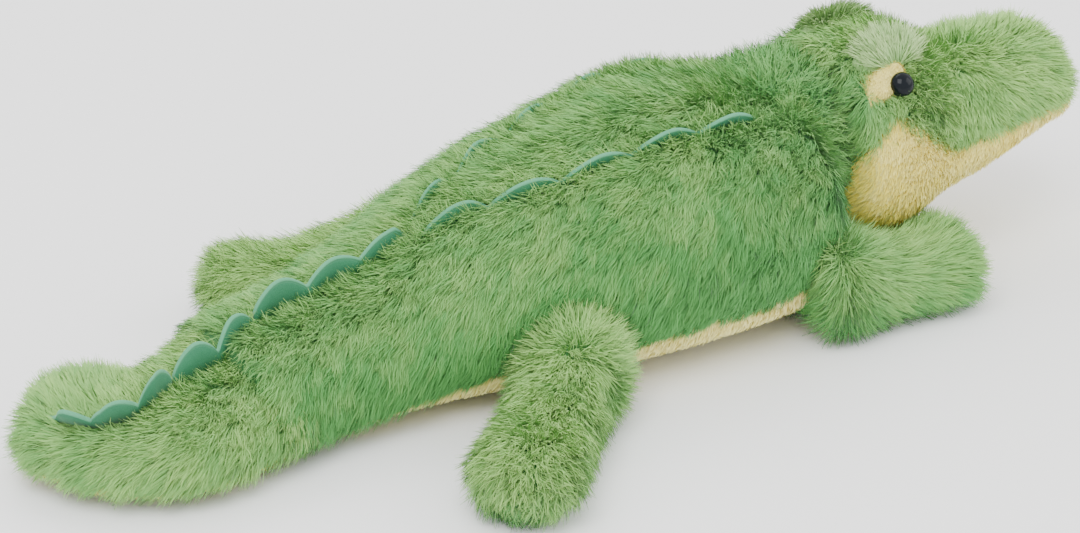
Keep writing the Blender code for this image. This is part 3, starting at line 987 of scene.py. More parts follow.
class PileMaker:
    """Grows pile from scalps with one Geometry Nodes tree.

    A scale says how fine a noise is, and a weight how strongly its cause turns or tones a strand.
    """

    rows = 3
    comb_weight, wave_weight, twist_weight = 1.5, 1.6, 0.8
    wave_scale, patch_scale, crimp_scale = 38.0, 55.0, 210.0
    shortest, longest = 0.72, 1.12
    lock_tone, strand_tone, end_tones = 0.32, 0.22, (0.01, 0.99)
    bow, gather_power, narrowing = 0.35, 1.4, 0.78
    floor_gap, floor_slope = 0.8 * MM, 0.4 * MM
    cloth_share, own_share = 0.7, 0.5
    tone_width, map_height, map_foot = 0.004, 0.96, 0.02

    def __init__(self) -> None:
        """Builds the tree."""
        tree = self.tree = GeometryTree("grow_pile")
        sizes = {name: tree.input(name) for name in Pile.__dataclass_fields__}
        seed = tree.input("seed", "NodeSocketInt")
        finish = tree.input("finish", "NodeSocketMaterial")
        density = tree.math("MULTIPLY", sizes["density"], tree.attribute("cover"))
        roots = tree.add(
            "GeometryNodeDistributePointsOnFaces",
            {"Mesh": tree.source.outputs["Geometry"], "Density": density, "Seed": seed},
        )
        normal = roots.outputs["Normal"]
        strands = self.strand_fields(sizes, seed, normal)
        points = tree.capture(roots.outputs["Points"], strands)
        blade = self.blade()
        placed = tree.add(
            "GeometryNodeInstanceOnPoints",
            {"Points": points.outputs["Geometry"], "Instance": blade.outputs["Geometry"]},
        )
        real = tree.add("GeometryNodeRealizeInstances", {"Geometry": placed.outputs["Instances"]})
        shaped = self.shaped(real.outputs["Geometry"], points.outputs, blade.outputs, sizes)
        mapped = self.mapped(shaped, points.outputs["tone"], blade.outputs)
        soft = tree.add(
            "GeometryNodeSetMeshNormal",
            {"Mesh": mapped, "Custom Normal": self.soft_normal(points.outputs["normal"])},
            mode="FREE",
            domain="POINT",
        )
        smooth = tree.add("GeometryNodeSetShadeSmooth", {"Geometry": soft.outputs["Mesh"]})
        painted = tree.add(
            "GeometryNodeSetMaterial", {"Geometry": smooth.outputs["Geometry"], "Material": finish}
        )
        tree.feed(tree.target.inputs["Geometry"], painted.outputs["Geometry"])

    def blade(self) -> Node:
        """One strand as a flat strip, with its place up and across kept.

        Returns:
            The node that gives it.
        """
        tree = self.tree
        strip = tree.add(
            "GeometryNodeMeshGrid",
            {"Size X": 1.0, "Size Y": 1.0, "Vertices X": 2, "Vertices Y": self.rows},
        )
        place = tree.add("ShaderNodeSeparateXYZ", {0: tree.add("GeometryNodeInputPosition").outputs[0]})
        up = tree.math("ADD", place.outputs["Y"], 0.5)
        fields = {"up": ("FLOAT", up), "across": ("FLOAT", place.outputs["X"])}
        return tree.capture(strip.outputs["Mesh"], fields)

    def strand_fields(self, sizes: dict, seed: object, normal: object) -> dict[str, tuple[str, object]]:
        """What each strand keeps from its root: direction, width direction, pull, reach and tone.

        Args:
            sizes: The tree's inputs by name.
            seed: The seed's socket.
            normal: The cloth's normal.

        Returns:
            Each field's type and socket, by name.
        """
        tree = self.tree
        root = tree.add("GeometryNodeInputPosition").outputs[0]
        comb = tree.attribute("comb", "FLOAT_VECTOR")
        cell = tree.add(
            "ShaderNodeTexVoronoi",
            {"Vector": root, "Scale": tree.math("DIVIDE", 1.0, sizes["clump"]), "Randomness": 1.0},
        )
        to_middle = tree.vector("SUBTRACT", cell.outputs["Position"], root)
        rise = tree.vector("DOT_PRODUCT", to_middle, normal)
        flat = tree.vector("SUBTRACT", to_middle, tree.scaled(normal, rise))
        lock = tree.vector("SUBTRACT", cell.outputs["Color"], (0.5, 0.5, 0.5))
        drift = tree.add("ShaderNodeTexNoise", {"Vector": root, "Scale": self.wave_scale, "Detail": 1.0})
        wave = tree.vector("SUBTRACT", drift.outputs["Color"], (0.5, 0.5, 0.5))
        alone = tree.random(seed, -1.0, 1.0, True)
        lean = tree.math("SUBTRACT", 1.0, sizes["upright"])
        heading = tree.vector(
            "NORMALIZE",
            tree.total(
                tree.scaled(normal, sizes["upright"]),
                tree.scaled(comb, tree.math("MULTIPLY", lean, self.comb_weight)),
                tree.scaled(lock, sizes["splay"]),
                tree.scaled(wave, tree.math("MULTIPLY", sizes["splay"], self.wave_weight)),
                tree.scaled(alone, sizes["stray"]),
            ),
        )
        other = tree.random(tree.math("ADD", seed, 7), -1.0, 1.0, True)
        twisted = tree.total(normal, tree.scaled(other, self.twist_weight))
        flank = tree.vector("CROSS_PRODUCT", heading, twisted)
        patch = tree.add("ShaderNodeTexNoise", {"Vector": root, "Scale": self.patch_scale, "Detail": 2.0})
        longer = tree.random(tree.math("ADD", seed, 3), self.shortest, self.longest)
        reach = tree.math("MULTIPLY", sizes["length"], longer)
        reach = tree.math("MULTIPLY", reach, tree.attribute("length"))
        # A strand's tone: the lay's tone, which carries painted shade, shifted at random by its lock's
        # colour, by the strand itself and by a patchy noise.
        shade = tree.add("ShaderNodeSeparateXYZ", {0: lock}).outputs["X"]
        tone = tree.math("ADD", tree.attribute("tone"), tree.math("MULTIPLY", shade, self.lock_tone))
        alike = tree.math("MULTIPLY", tree.random(seed, -0.5, 0.5), self.strand_tone)
        tone = tree.math("ADD", tone, alike)
        tone = tree.math("ADD", tone, tree.math("MULTIPLY_ADD", patch.outputs["Fac"], 1.0, -0.5))
        tone = tree.math("MINIMUM", tree.math("MAXIMUM", tone, self.end_tones[0]), self.end_tones[1])
        return {
            "root": ("VECTOR", root),
            "normal": ("VECTOR", normal),
            "heading": ("VECTOR", heading),
            "flank": ("VECTOR", tree.vector("NORMALIZE", flank)),
            "pull": ("VECTOR", tree.scaled(flat, sizes["pull"])),
            "reach": ("FLOAT", reach),
            "tone": ("FLOAT", tone),
        }

    def shaped(self, geometry: object, strand: object, blade: object, sizes: dict) -> object:
        """Bends every strip into its strand, above the floor.

        Args:
            geometry: The strips.
            strand: What each strand keeps.
            blade: The places on a strip.
            sizes: The tree's inputs by name.

        Returns:
            The bent strips.
        """
        tree = self.tree
        up = blade["up"]
        rise = tree.scaled(strand["heading"], tree.math("MULTIPLY", strand["reach"], up))
        bow = tree.math("MULTIPLY", up, tree.math("SUBTRACT", 1.0, up))
        bow = tree.math("MULTIPLY", bow, self.bow)
        lift = tree.scaled(strand["normal"], tree.math("MULTIPLY", strand["reach"], bow))
        gather = tree.scaled(strand["pull"], tree.math("POWER", up, self.gather_power))
        middle = tree.total(strand["root"], rise, lift, gather)
        crimp = tree.add("ShaderNodeTexNoise", {"Vector": middle, "Scale": self.crimp_scale, "Detail": 1.0})
        wave = tree.vector("SUBTRACT", crimp.outputs["Color"], (0.5, 0.5, 0.5))
        bent = tree.scaled(wave, tree.math("MULTIPLY", sizes["curl"], tree.math("MULTIPLY", up, 2.0)))
        narrow = tree.math("MULTIPLY_ADD", tree.math("POWER", up, 2.0), -self.narrowing, 1.0)
        wide = tree.math("MULTIPLY", tree.math("MULTIPLY", blade["across"], sizes["width"]), narrow)
        place = tree.total(middle, bent, tree.scaled(strand["flank"], wide))
        parts = tree.add("ShaderNodeSeparateXYZ", {0: place}).outputs
        floor = tree.math("MULTIPLY_ADD", blade["across"], self.floor_slope, self.floor_gap)
        above = tree.math("MAXIMUM", parts["Z"], floor)
        whole = tree.add("ShaderNodeCombineXYZ", {0: parts["X"], 1: parts["Y"], 2: above}).outputs[0]
        moved = tree.add("GeometryNodeSetPosition", {"Geometry": geometry, "Position": whole})
        return moved.outputs["Geometry"]

    def soft_normal(self, normal: object) -> object:
        """A strand's shading normal, between its own and that of the cloth under it.

        Args:
            normal: The cloth's normal.

        Returns:
            The shading normal.
        """
        tree = self.tree
        own = tree.add("GeometryNodeInputNormal").outputs["Normal"]
        both = tree.total(tree.scaled(normal, self.cloth_share), tree.scaled(own, self.own_share))
        return tree.vector("NORMALIZE", both)

    def mapped(self, geometry: object, tone: object, blade: object) -> object:
        """Gives the strands their map: across is the tone and up is root to tip.

        Args:
            geometry: The strands.
            tone: Their tone.
            blade: The places on a strip.

        Returns:
            The strands with their map.
        """
        tree = self.tree
        across = tree.math("MULTIPLY_ADD", blade["across"], self.tone_width, tone)
        up = tree.math("MULTIPLY_ADD", blade["up"], self.map_height, self.map_foot)
        place = tree.add("ShaderNodeCombineXYZ", {0: across, 1: up}).outputs[0]
        values = {"Geometry": geometry, "Name": BAKE_MAP, "Value": place}
        node = tree.add("GeometryNodeStoreNamedAttribute", values, data_type="FLOAT2", domain="CORNER")
        return node.outputs["Geometry"]

    def grow(
        self, name: str, scalp: Thing, pile: Pile, seed: int, finish: Material
    ) -> Thing:
        """Grows pile from a scalp and removes the scalp.

        Args:
            name: The pile's name.
            scalp: A mesh object with comb, cover, length and tone.
            pile: The pile's sizes.
            seed: A fixed seed.
            finish: Its material.

        Returns:
            The pile as a plain mesh object.
        """
        modifier = scalp.modifiers.new("pile", "NODES")
        modifier.node_group = self.tree.group
        for key in Pile.__dataclass_fields__:
            modifier[self.tree.names[key]] = float(getattr(pile, key))
        modifier[self.tree.names["seed"]] = seed
        modifier[self.tree.names["finish"]] = finish
        bpy.context.view_layer.update()
        graph = bpy.context.evaluated_depsgraph_get()
        mesh = bpy.data.meshes.new_from_object(scalp.evaluated_get(graph))
        mesh.name = name
        bpy.data.objects.remove(scalp)
        made = bpy.data.objects.new(name, mesh)
        bpy.context.scene.collection.objects.link(made)
        return made


# Pieces


@dataclass
class Studio:
    """What every sub-assembly needs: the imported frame, the finishes and the pile maker."""

    frame: dict
    finishes: Finishes
    piles: PileMaker
    made: list[str] = field(default_factory=list)

    def settle(
        self, thing: Thing, body: str, slot: Slot, *nodes: str, fill: float | None = None
    ) -> Thing:
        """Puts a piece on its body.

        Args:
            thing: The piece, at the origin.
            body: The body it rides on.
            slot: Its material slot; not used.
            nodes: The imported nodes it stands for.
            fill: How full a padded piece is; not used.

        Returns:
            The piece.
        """
        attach(thing, body)
        if nodes:
            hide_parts(*nodes)
        self.made.append(thing.name)
        LOG.info("%s: %d faces on %s", thing.name, len(thing.data.polygons), body)
        return thing

    def backing(
        self, name: str, rings: Sequence[Ring], depth: float, body: str, *nodes: str
    ) -> Thing:
        """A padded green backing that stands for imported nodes.

        Args:
            name: The backing's name.
            rings: The form's rings.
            depth: How far inside the pile's tips it lies.
            body: The body it rides on.
            nodes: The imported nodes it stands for.

        Returns:
            The backing.
        """
        thing = backing_object(name, rings, depth)
        thing.data.materials.append(self.finishes.backing)
        return self.settle(thing, body, Slot.PILE, *nodes, fill=0.8)

    def pile(
        self, name: str, scalp: Scalp, pile: Pile, seed: int, body: str, slot: Slot = Slot.PILE
    ) -> Thing:
        """Pile on a scalp, in the finish of its slot.

        Args:
            name: The pile's name.
            scalp: What it grows from.
            pile: Its sizes.
            seed: A fixed seed.
            body: The body it rides on.
            slot: Its material slot.

        Returns:
            The pile.
        """
        finish = {Slot.PILE: self.finishes.pile, Slot.BROW: self.finishes.brow, Slot.NAP: self.finishes.nap}
        grown = self.piles.grow(name, scalp.thing(f"{name}_scalp"), pile, seed, finish[slot])
        return self.settle(grown, body, slot)

    def halved_pile(self, place: str, scalp: Scalp, pile: Pile, seed: int, body: str) -> None:
        """Pile on a scalp that spans the top, grown as a left and a right piece.

        Args:
            place: The first word of the pieces' names.
            scalp: What they grow from.
            pile: Their sizes.
            seed: The left piece's seed; the right one's is the next.
            body: The body they ride on.
        """
        middle = scalp.cover.shape[1] // 2
        for side, columns in ((Side.LEFT, slice(0, middle + 1)), (Side.RIGHT, slice(middle, None))):
            part = scalp.part(slice(None), columns)
            self.pile(f"{place}_{side.word}_pile", part, pile, seed + (side is Side.RIGHT), body)

    def panel(
        self,
        name: str,
        rings: Sequence[Ring],
        angles: Sequence[np.ndarray],
        body: str,
        *nodes: str,
        depth: float = 3 * MM,
        thick: float = 4 * MM,
        tuck: float = 5 * MM,
        bulge: Callable[[Ring, float], float] | None = None,
    ) -> np.ndarray:
        """A padded yellow panel on a form, whose edges tuck in under the pile.

        Args:
            name: The panel's name.
            rings: The form's rings that it spans.
            angles: The angles of each ring.
            body: The body it rides on.
            nodes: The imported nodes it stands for.
            depth: How far inside the pile's tips its face lies.
            thick: Its thickness.
            tuck: How far its edges turn in.
            bulge: How far it swells out at a ring and angle.

        Returns:
            The panel's face as a grid of points.
        """
        outer = ring_points(rings, angles, depth)
        inner = ring_points(rings, angles, depth + tuck + thick)
        inward = unit(inner - outer)
        columns = outer.shape[1]
        edge = np.minimum(np.arange(columns), np.arange(columns)[::-1]) / 4.0
        turn = (1 - np.clip(edge, 0, 1)) ** 2
        swell = np.zeros(outer.shape[:2])
        if bulge is not None:
            swell = np.array([[bulge(ring, angle) for angle in row] for ring, row in zip(rings, angles)])
        outer = outer + inward * (turn[None, :] * tuck - swell)[..., None]
        outer[..., 2] = np.maximum(outer[..., 2], 0.0)
        thing = panel_object(name, outer, inner)
        thing.data.materials.append(self.finishes.yellow)
        self.settle(thing, body, Slot.NAP, *nodes, fill=0.7)
        return outer


NAP = Pile(
    density=0.9e6,
    length=3.2 * MM,
    width=0.55 * MM,
    upright=0.4,
    clump=4.0 * MM,
    pull=0.05,
    splay=0.12,
    stray=0.16,
    curl=0.1 * MM,
)


def nap_scalp(
    points: np.ndarray, angles: Sequence[np.ndarray], tones: tuple[float, float] = (0.5, 0.5)
) -> Scalp:
    """A scalp for the nap of a panel, bare where the panel lies on the floor.

    Args:
        points: The panel's face.
        angles: The face's angles, row by row.
        tones: Its tone at the first row and at the last.

    Returns:
        The scalp.
    """
    along = unit(np.gradient(points, axis=0))
    around = unit(np.gradient(points, axis=1))
    side = np.sign(np.array(angles) + TOP)[..., None]
    comb = along * -0.5 - around * side * 0.6
    cover = (points[..., 2] > 1.2 * MM).astype(float)
    shape = points.shape[:2]
    heart = points.mean(axis=(0, 1)) + [0, 0, 30 * MM]
    tone = np.repeat(np.linspace(*tones, shape[0])[:, None], shape[1], axis=1)
    return Scalp(points, comb, cover, np.ones(shape), tone, heart)


@dataclass
class Ribbon:
    """A scalloped velour crest along a form."""

    name: str
    rings: Sequence[Ring]
    angles: Sequence[float]
    peak: float
    valley: float
    root: float = 8 * MM
    half: float = 1.5 * MM
    scallop: float = 23 * MM
    roll: float = 0.95 * MM
    wobble: float = 0.5 * MM
    steps: int = 9
    taper: float = 0.0
    fade: float = 0.0

    def frames(self) -> list[tuple[Vector, Vector, Vector]]:
        """Surface point, sideways and outward direction, closely along the line.

        Returns:
            The frames, from the ribbon's start to its end.
        """
        coarse = []
        for ring, angle in zip(self.rings, self.angles):
            side = (ring.point(angle + 1) - ring.point(angle - 1)).normalized()
            out = (ring.point(angle) - ring.point(angle, self.root)).normalized()
            coarse.append((ring.point(angle), side, out))
        fine = []
        for one, two in zip(coarse, coarse[1:]):
            for step in range(self.steps):
                fine.append(tuple(a.lerp(b, step / self.steps) for a, b in zip(one, two)))
        return fine + [coarse[-1]]

    def profile(self, height: float) -> list[tuple[float, float]]:
        """Its cross-section: up one side, round the rolled edge and down the other.

        Args:
            height: How far its edge stands out of the surface.

        Returns:
            The sideways and outward places of its points.
        """
        half, roll = self.half * 0.75, self.roll
        points = [(half, -self.root), (half, height - 3.2 * roll), (half * 0.8, height - 2.1 * roll)]
        for turn in np.linspace(-40, 90, 6):
            angle = math.radians(turn)
            points.append((roll * math.cos(angle) * 1.15, height - roll + roll * math.sin(angle)))
        return points + [(-x, y) for x, y in points[-2::-1]]

    def build(self, studio: Studio, body: str, node: str) -> Thing:
        """Makes the ribbon and puts it on its body in a node's place.

        Args:
            studio: The studio.
            body: The body it rides on.
            node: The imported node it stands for.

        Returns:
            The ribbon.
        """
        frames = self.frames()
        steps = [(b[0] - a[0]).length for a, b in zip(frames, frames[1:])]
        lengths = np.concatenate([[0.0], np.cumsum(steps)])
        total = lengths[-1]
        scallops = max(1, round(total / self.scallop))
        points, rims = [], []
        for (surface, side, out), length in zip(frames, lengths):
            turns = length / total * scallops
            peak = self.peak * (1 - self.fade * length / total)
            height = self.valley + (peak - self.valley) * math.sin(math.pi * (turns % 1.0)) ** 0.75
            if self.taper:
                ending = 1 - smooth_step((total - length) / self.taper)
                height -= (height + self.root * 0.4) * ending
            wobble = self.wobble * math.sin(turns * 2 * math.pi + 0.7)
            loop = self.profile(height)
            for x, y in loop:
                lean = wobble * max(0.0, (y + self.root) / (height + self.root))
                points.append(surface + side * (x + lean) + out * y)
                rims.append(min(1.0, max(0.0, (y - height + 5 * self.roll) / (4.4 * self.roll))))
        count = len(loop)
        faces = grid_faces(len(frames), count, Mesher.LOOP)
        faces += [tuple(range(count)), tuple(range((len(frames) - 1) * count, len(frames) * count))]
        thing = mesh_object(self.name, np.array(points), faces)
        write_attribute(thing.data, "rim", np.array(rims))
        face_outwards(thing)
        thing.data.materials.append(studio.finishes.velour)
        return studio.settle(thing, body, Slot.VELOUR, node)


# Sub-assemblies


@dataclass
class Trunk:
    """The body, with its belly panel and three crests."""

    length: float = 0.287
    half_width: float = 0.085
    height: float = 0.119
    rear: float = -0.150
    drift: float = 0.009
    shoulder: float = 0.022
    seam: float = 38.0
    depth: float = 8 * MM
    shares: tuple[Row, ...] = (
        (0.00, -1.00, 0.610, 0.0, 0.475),
        (0.15, -0.35, 0.640, 0.0, 0.515),
        (0.29, 0.00, 0.705, 0.0, 0.595),
        (0.40, 0.00, 0.800, 0.0, 0.740),
        (0.62, 0.00, 0.960, 0.0, 0.907),
        (0.81, 0.00, 1.000, 0.0, 1.000),
        (1.00, 0.00, 0.905, 0.0, 0.940),
    )
    spreads: tuple[float, ...] = (5, 11, 17.5, 20.5, 22.5, 24.5, 26, 25)
    fork: float = 1 / 3
    spans: int = 12
    rump_start: float = 0.045
    rump_dome: float = 0.018
    parting_width: float = 7.0
    fall_width: float = 14.0
    belly_depth: float = 4.5 * MM
    belly_sag: float = 4.5 * MM
    peak: float = 4.6 * MM
    valley: float = -4.0 * MM
    pile: Pile = Pile()
    legs: tuple[Form, ...] = ()

    def form(self) -> Form:
        """The trunk's form.

        Returns:
            The form.
        """
        start = Vector((self.rear, 0, 0))
        return Form(
            self.shares, start, Vector((1, 0, 0)), self.length, self.drift,
            self.half_width, self.height, 2.15, 2.80, front_dome=self.shoulder,
        )

    def crest_angle(self, share: float, angle: float) -> float:
        """The angle of the crest nearest to an angle, at a share of the trunk's length.

        Args:
            share: The share.
            angle: The angle.

        Returns:
            The crest's angle.
        """
        if share < self.fork:
            return TOP
        place = (share - self.fork) * self.spans
        spread = float(np.interp(place, range(len(self.spreads)), self.spreads))
        return TOP + math.copysign(spread, angle - TOP)

    def by_leg(self, point: Vector, margin: float) -> bool:
        """Whether a point is in a leg by a margin, or near one where that is below zero."""
        return any(leg.holds(point, margin) for leg in self.legs)

    def seam_at(self, share: float) -> float:
        """The belly seam's angle below the side, which rises from the tail to the belly."""
        return self.seam - 14.0 * smooth_step((share - 0.18) / 0.24)

    def lay(self, ring: Ring, angle: float) -> Lie:
        """How the pile lies: back and down, parted at the crests and short at the seam.

        Args:
            ring: The ring.
            angle: The angle on it.

        Returns:
            The lie.
        """
        point = ring.point(angle, self.depth)
        away = from_top(angle)
        crest = self.crest_angle(ring.share, angle)
        gap = abs(angle - crest)
        parting = bell(gap, self.parting_width)
        buried = 0.25 - 0.15 * smooth_step((ring.share - 0.24) / 0.10)
        seam = self.seam_at(ring.share)
        above = (min(angle + seam, 180 + seam - angle)) / 26.0
        hem = 1.0 if ring.share < 0.16 else 0.42 + 0.58 * smooth_step(above)
        held, close, near = (self.by_leg(point, margin) for margin in (7 * MM, -3 * MM, -9 * MM))
        front = smooth_step((ring.turn - 0.3) / 0.9)
        down = 0.75 * away_from(angle, TOP, self.fall_width) * (1 - parting)
        # Tone: darker down the flanks as painted shade away from the top, and darker near the legs as painted
        # shade under the overhanging pile; paler at the partings and over the front dome.
        tone = 0.44 - 0.58 * away**2 + 0.16 * parting - 0.28 * near - 0.28 * close + 0.30 * front
        far = (1 - smooth_step(ring.share / 0.34)) * (1 - smooth_step((angle - 40) / 50))
        length = (1 - buried * parting) * hem * (1 - 0.3 * near - 0.3 * close)
        length = length * (1 - 0.30 * front) * (0.95 - 0.45 * far)
        along = -0.85 * (1 - 0.55 * parting) - 0.4 * front
        return Lie(along, down, 0.0 if held else 1.0, length, tone)

    def build(self, studio: Studio) -> None:
        """Makes the backing, the pile, the belly panel and the crests.

        Args:
            studio: The studio.
        """
        form = self.form()
        spine = form.rings(45)
        covered = spine + dome(spine[-1], self.shoulder, 8)
        rings = dome(spine[0], -self.rump_dome, 4) + covered
        studio.backing("trunk_backing", rings, self.depth, "trunk", "trunk")
        angles = [over_angles(self.seam_at(ring.share) + 1, 97) for ring in covered]
        scalp = make_scalp(covered, angles, self.depth, self.lay)
        lengths = (("rump", slice(0, 20), 11), ("loin", slice(19, 31), 13), ("shoulder", slice(30, None), 15))
        for place, rows, seed in lengths:
            studio.halved_pile(place, scalp.part(rows, slice(None)), self.pile, seed, "trunk")
        lower = covered[:-3]
        turns = [under_angles(self.seam_at(ring.share) - 6, 49) for ring in lower]
        face = studio.panel(
            "belly_cloth", lower, turns, "trunk", "belly_panel", depth=self.belly_depth, bulge=self.settled
        )
        # The belly nap takes its palest tone, partly as painted light bounced up from the floor into the
        # shade under the trunk.
        studio.pile("belly_nap", nap_scalp(face, turns, (0.99, 0.99)), NAP, 31, "trunk", Slot.NAP)
        self.build_crests(studio, form)

    def settled(self, ring: Ring, angle: float) -> float:
        """How far the belly sags to the floor under the trunk."""
        return self.belly_sag * max(0.0, math.sin(math.radians(-angle))) ** 4

    def build_crests(self, studio: Studio, form: Form) -> None:
        """Makes the rump crest and the two rows on the back.

        Args:
            studio: The studio.
            form: The trunk's form.
        """
        rump = [form.ring(share) for share in np.linspace(self.rump_start, self.fork, 8)]
        ribbon = Ribbon(
            "rump_ribbon", rump, [TOP] * len(rump), self.peak + 7.5 * MM, self.valley + 5 * MM,
            scallop=25 * MM, fade=0.6, taper=9 * MM,
        )
        ribbon.build(studio, "trunk", "rump_crest")
        step = 1 / self.spans
        shares = [self.fork + 0.006] + [self.fork + step * i for i in range(1, len(self.spreads))]
        for side in Side:
            line = [TOP + side.value * spread for spread in self.spreads]
            rings = [form.ring(min(share, 1.0)) for share in shares]
            sunk = 2.8 * MM if side is Side.LEFT else 0.9 * MM
            ribbon = Ribbon(
                f"{side.word}_back_ribbon", rings, line, self.peak - sunk, self.valley - sunk,
                scallop=32 * MM, fade=0.3,
            )
            ribbon.build(studio, "trunk", f"{side.word}_back_crest")


@dataclass
class Tail:
    """The tail's base and tip, each with its underside and crest."""

    trunk: Trunk
    inset: float = 0.012
    root_drift: float = 0.0065
    half_width: float = 0.050
    height: float = 0.0515
    run: float = 0.084
    drift: float = 0.0145
    base_end: float = 0.52
    base_dome: float = 0.030
    end_dome: float = 0.028
    parting_width: float = 9.0
    fall_width: float = 14.0
    tip_taper: float = 14 * MM
    seam: float = 30.0
    depth: float = 8 * MM
    curl_share: float = 0.55
    shares: tuple[Row, ...] = (
        (0.00, 0.00, 1.000, 0.0, 1.000),
        (0.26, -0.69, 0.970, 0.0, 0.915),
        (0.53, -1.00, 0.936, 0.0, 0.865),
        (0.80, -0.45, 0.830, 0.0, 0.825),
        (1.00, 0.79, 0.690, 0.0, 0.855),
    )
    tip_angles: tuple[float, ...] = (92, 103, 115, 124, 130, 132)
    peak: float = 12.5 * MM
    valley: float = 1.5 * MM
    pile: Pile = Pile(upright=0.5)

    def form(self, first: float, last: float) -> Form:
        """The tail's form between two shares.

        Args:
            first: The first share.
            last: The last share.

        Returns:
            The form.
        """
        start = Vector((self.trunk.rear + self.inset, -self.root_drift, 0))
        return Form(
            self.shares, start, Vector((-1, 0, 0)), self.run, -self.drift,
            self.half_width, self.height, 2.0, 2.6, True, first, last,
            rear_dome=self.half_width, front_dome=self.end_dome,
        )

    def crest_angle(self, share: float) -> float:
        """The crest's angle at a share of the tail's length.

        Args:
            share: The share.

        Returns:
            The crest's angle.
        """
        if share < self.curl_share:
            return TOP
        places = np.linspace(self.curl_share, 1.0, len(self.tip_angles))
        return float(np.interp(share, places, self.tip_angles))

    def lay(self, ring: Ring, angle: float) -> Lie:
        """How the pile lies: towards the tip and down, parted at the crest.

        Args:
            ring: The ring.
            angle: The angle on it.

        Returns:
            The lie.
        """
        point = ring.point(angle, self.depth)
        away = from_top(angle)
        crest = self.crest_angle(ring.share)
        end = smooth_step((ring.turn - 0.5) / 0.8) * (ring.reach > 0)
        parting = bell(angle - crest, self.parting_width) * (1 - end)
        down = 0.7 * away_from(angle, crest, self.fall_width) * (1 - parting)
        held = self.trunk.form().holds(point, 12 * MM)
        if ring.share >= self.curl_share:
            held = self.form(0.0, self.base_end).holds(point, 10 * MM)
        far = (1 - smooth_step(ring.share / 0.4)) * (1 - smooth_step((angle - 20) / 40))
        length = (0.92 - 0.56 * end - 0.4 * far) * (1 - 0.22 * parting)
        # Tone: darker down the sides, as painted shade away from the top.
        return Lie(0.95 * (1 - 0.55 * parting), down, 0.0 if held else 1.0, length, 0.70 - 0.14 * away)

    def build(self, studio: Studio) -> None:
        """Makes both parts of the tail.

        Args:
            studio: The studio.
        """
        base = self.form(0.0, self.base_end).rings(18)
        tip = self.form(self.curl_share, 1.0).rings(20)
        for name, spine, end, crest_angles, seed in (
            ("tail_base", base, self.base_dome, [TOP] * 6, 45),
            ("tail_tip", tip, self.end_dome, self.tip_angles, 55),
        ):
            root = dome(spine[0], -spine[0].wide, 8)
            rings = root + spine + dome(spine[-1], end, 8)
            studio.backing(f"{name}_backing", rings, self.depth, name, name)
            angles = [over_angles(self.seam + 4, 65)] * len(rings)
            scalp = make_scalp(rings, angles, self.depth, self.lay)
            studio.halved_pile(name, scalp.part(slice(1, None), slice(None)), self.pile, seed, name)
            lower = rings[4:-4]
            turns = [under_angles(self.seam - 2, 41)] * len(lower)
            face = studio.panel(f"{name}_under_cloth", lower, turns, name, f"{name}_underside")
            studio.pile(f"{name}_under_nap", nap_scalp(face, turns), NAP, seed + 5, name, Slot.NAP)
            self.build_crest(studio, name, spine, crest_angles)

    def build_crest(self, studio: Studio, name: str, spine: Sequence[Ring], angles: Sequence[float]) -> None:
        """Makes one part's crest, over the length of its solid's crest.

        Args:
            studio: The studio.
            name: The part's name.
            spine: Its rings.
            angles: The crest's angles.
        """
        last = len(angles) - 1
        if name == "tail_base":
            whole = self.form(0.0, 1.0)
            rings = [whole.ring(share) for share in np.linspace(0.0, self.curl_share - 0.012, last + 1)]
        else:
            rings = [spine[round(i * (len(spine) - 1) / last)] for i in range(last + 1)]
        taper = self.tip_taper if name == "tail_tip" else 0.0
        ribbon = Ribbon(f"{name}_ribbon", rings, list(angles), self.peak, self.valley, taper=taper)
        ribbon.build(studio, name, f"{name}_crest")


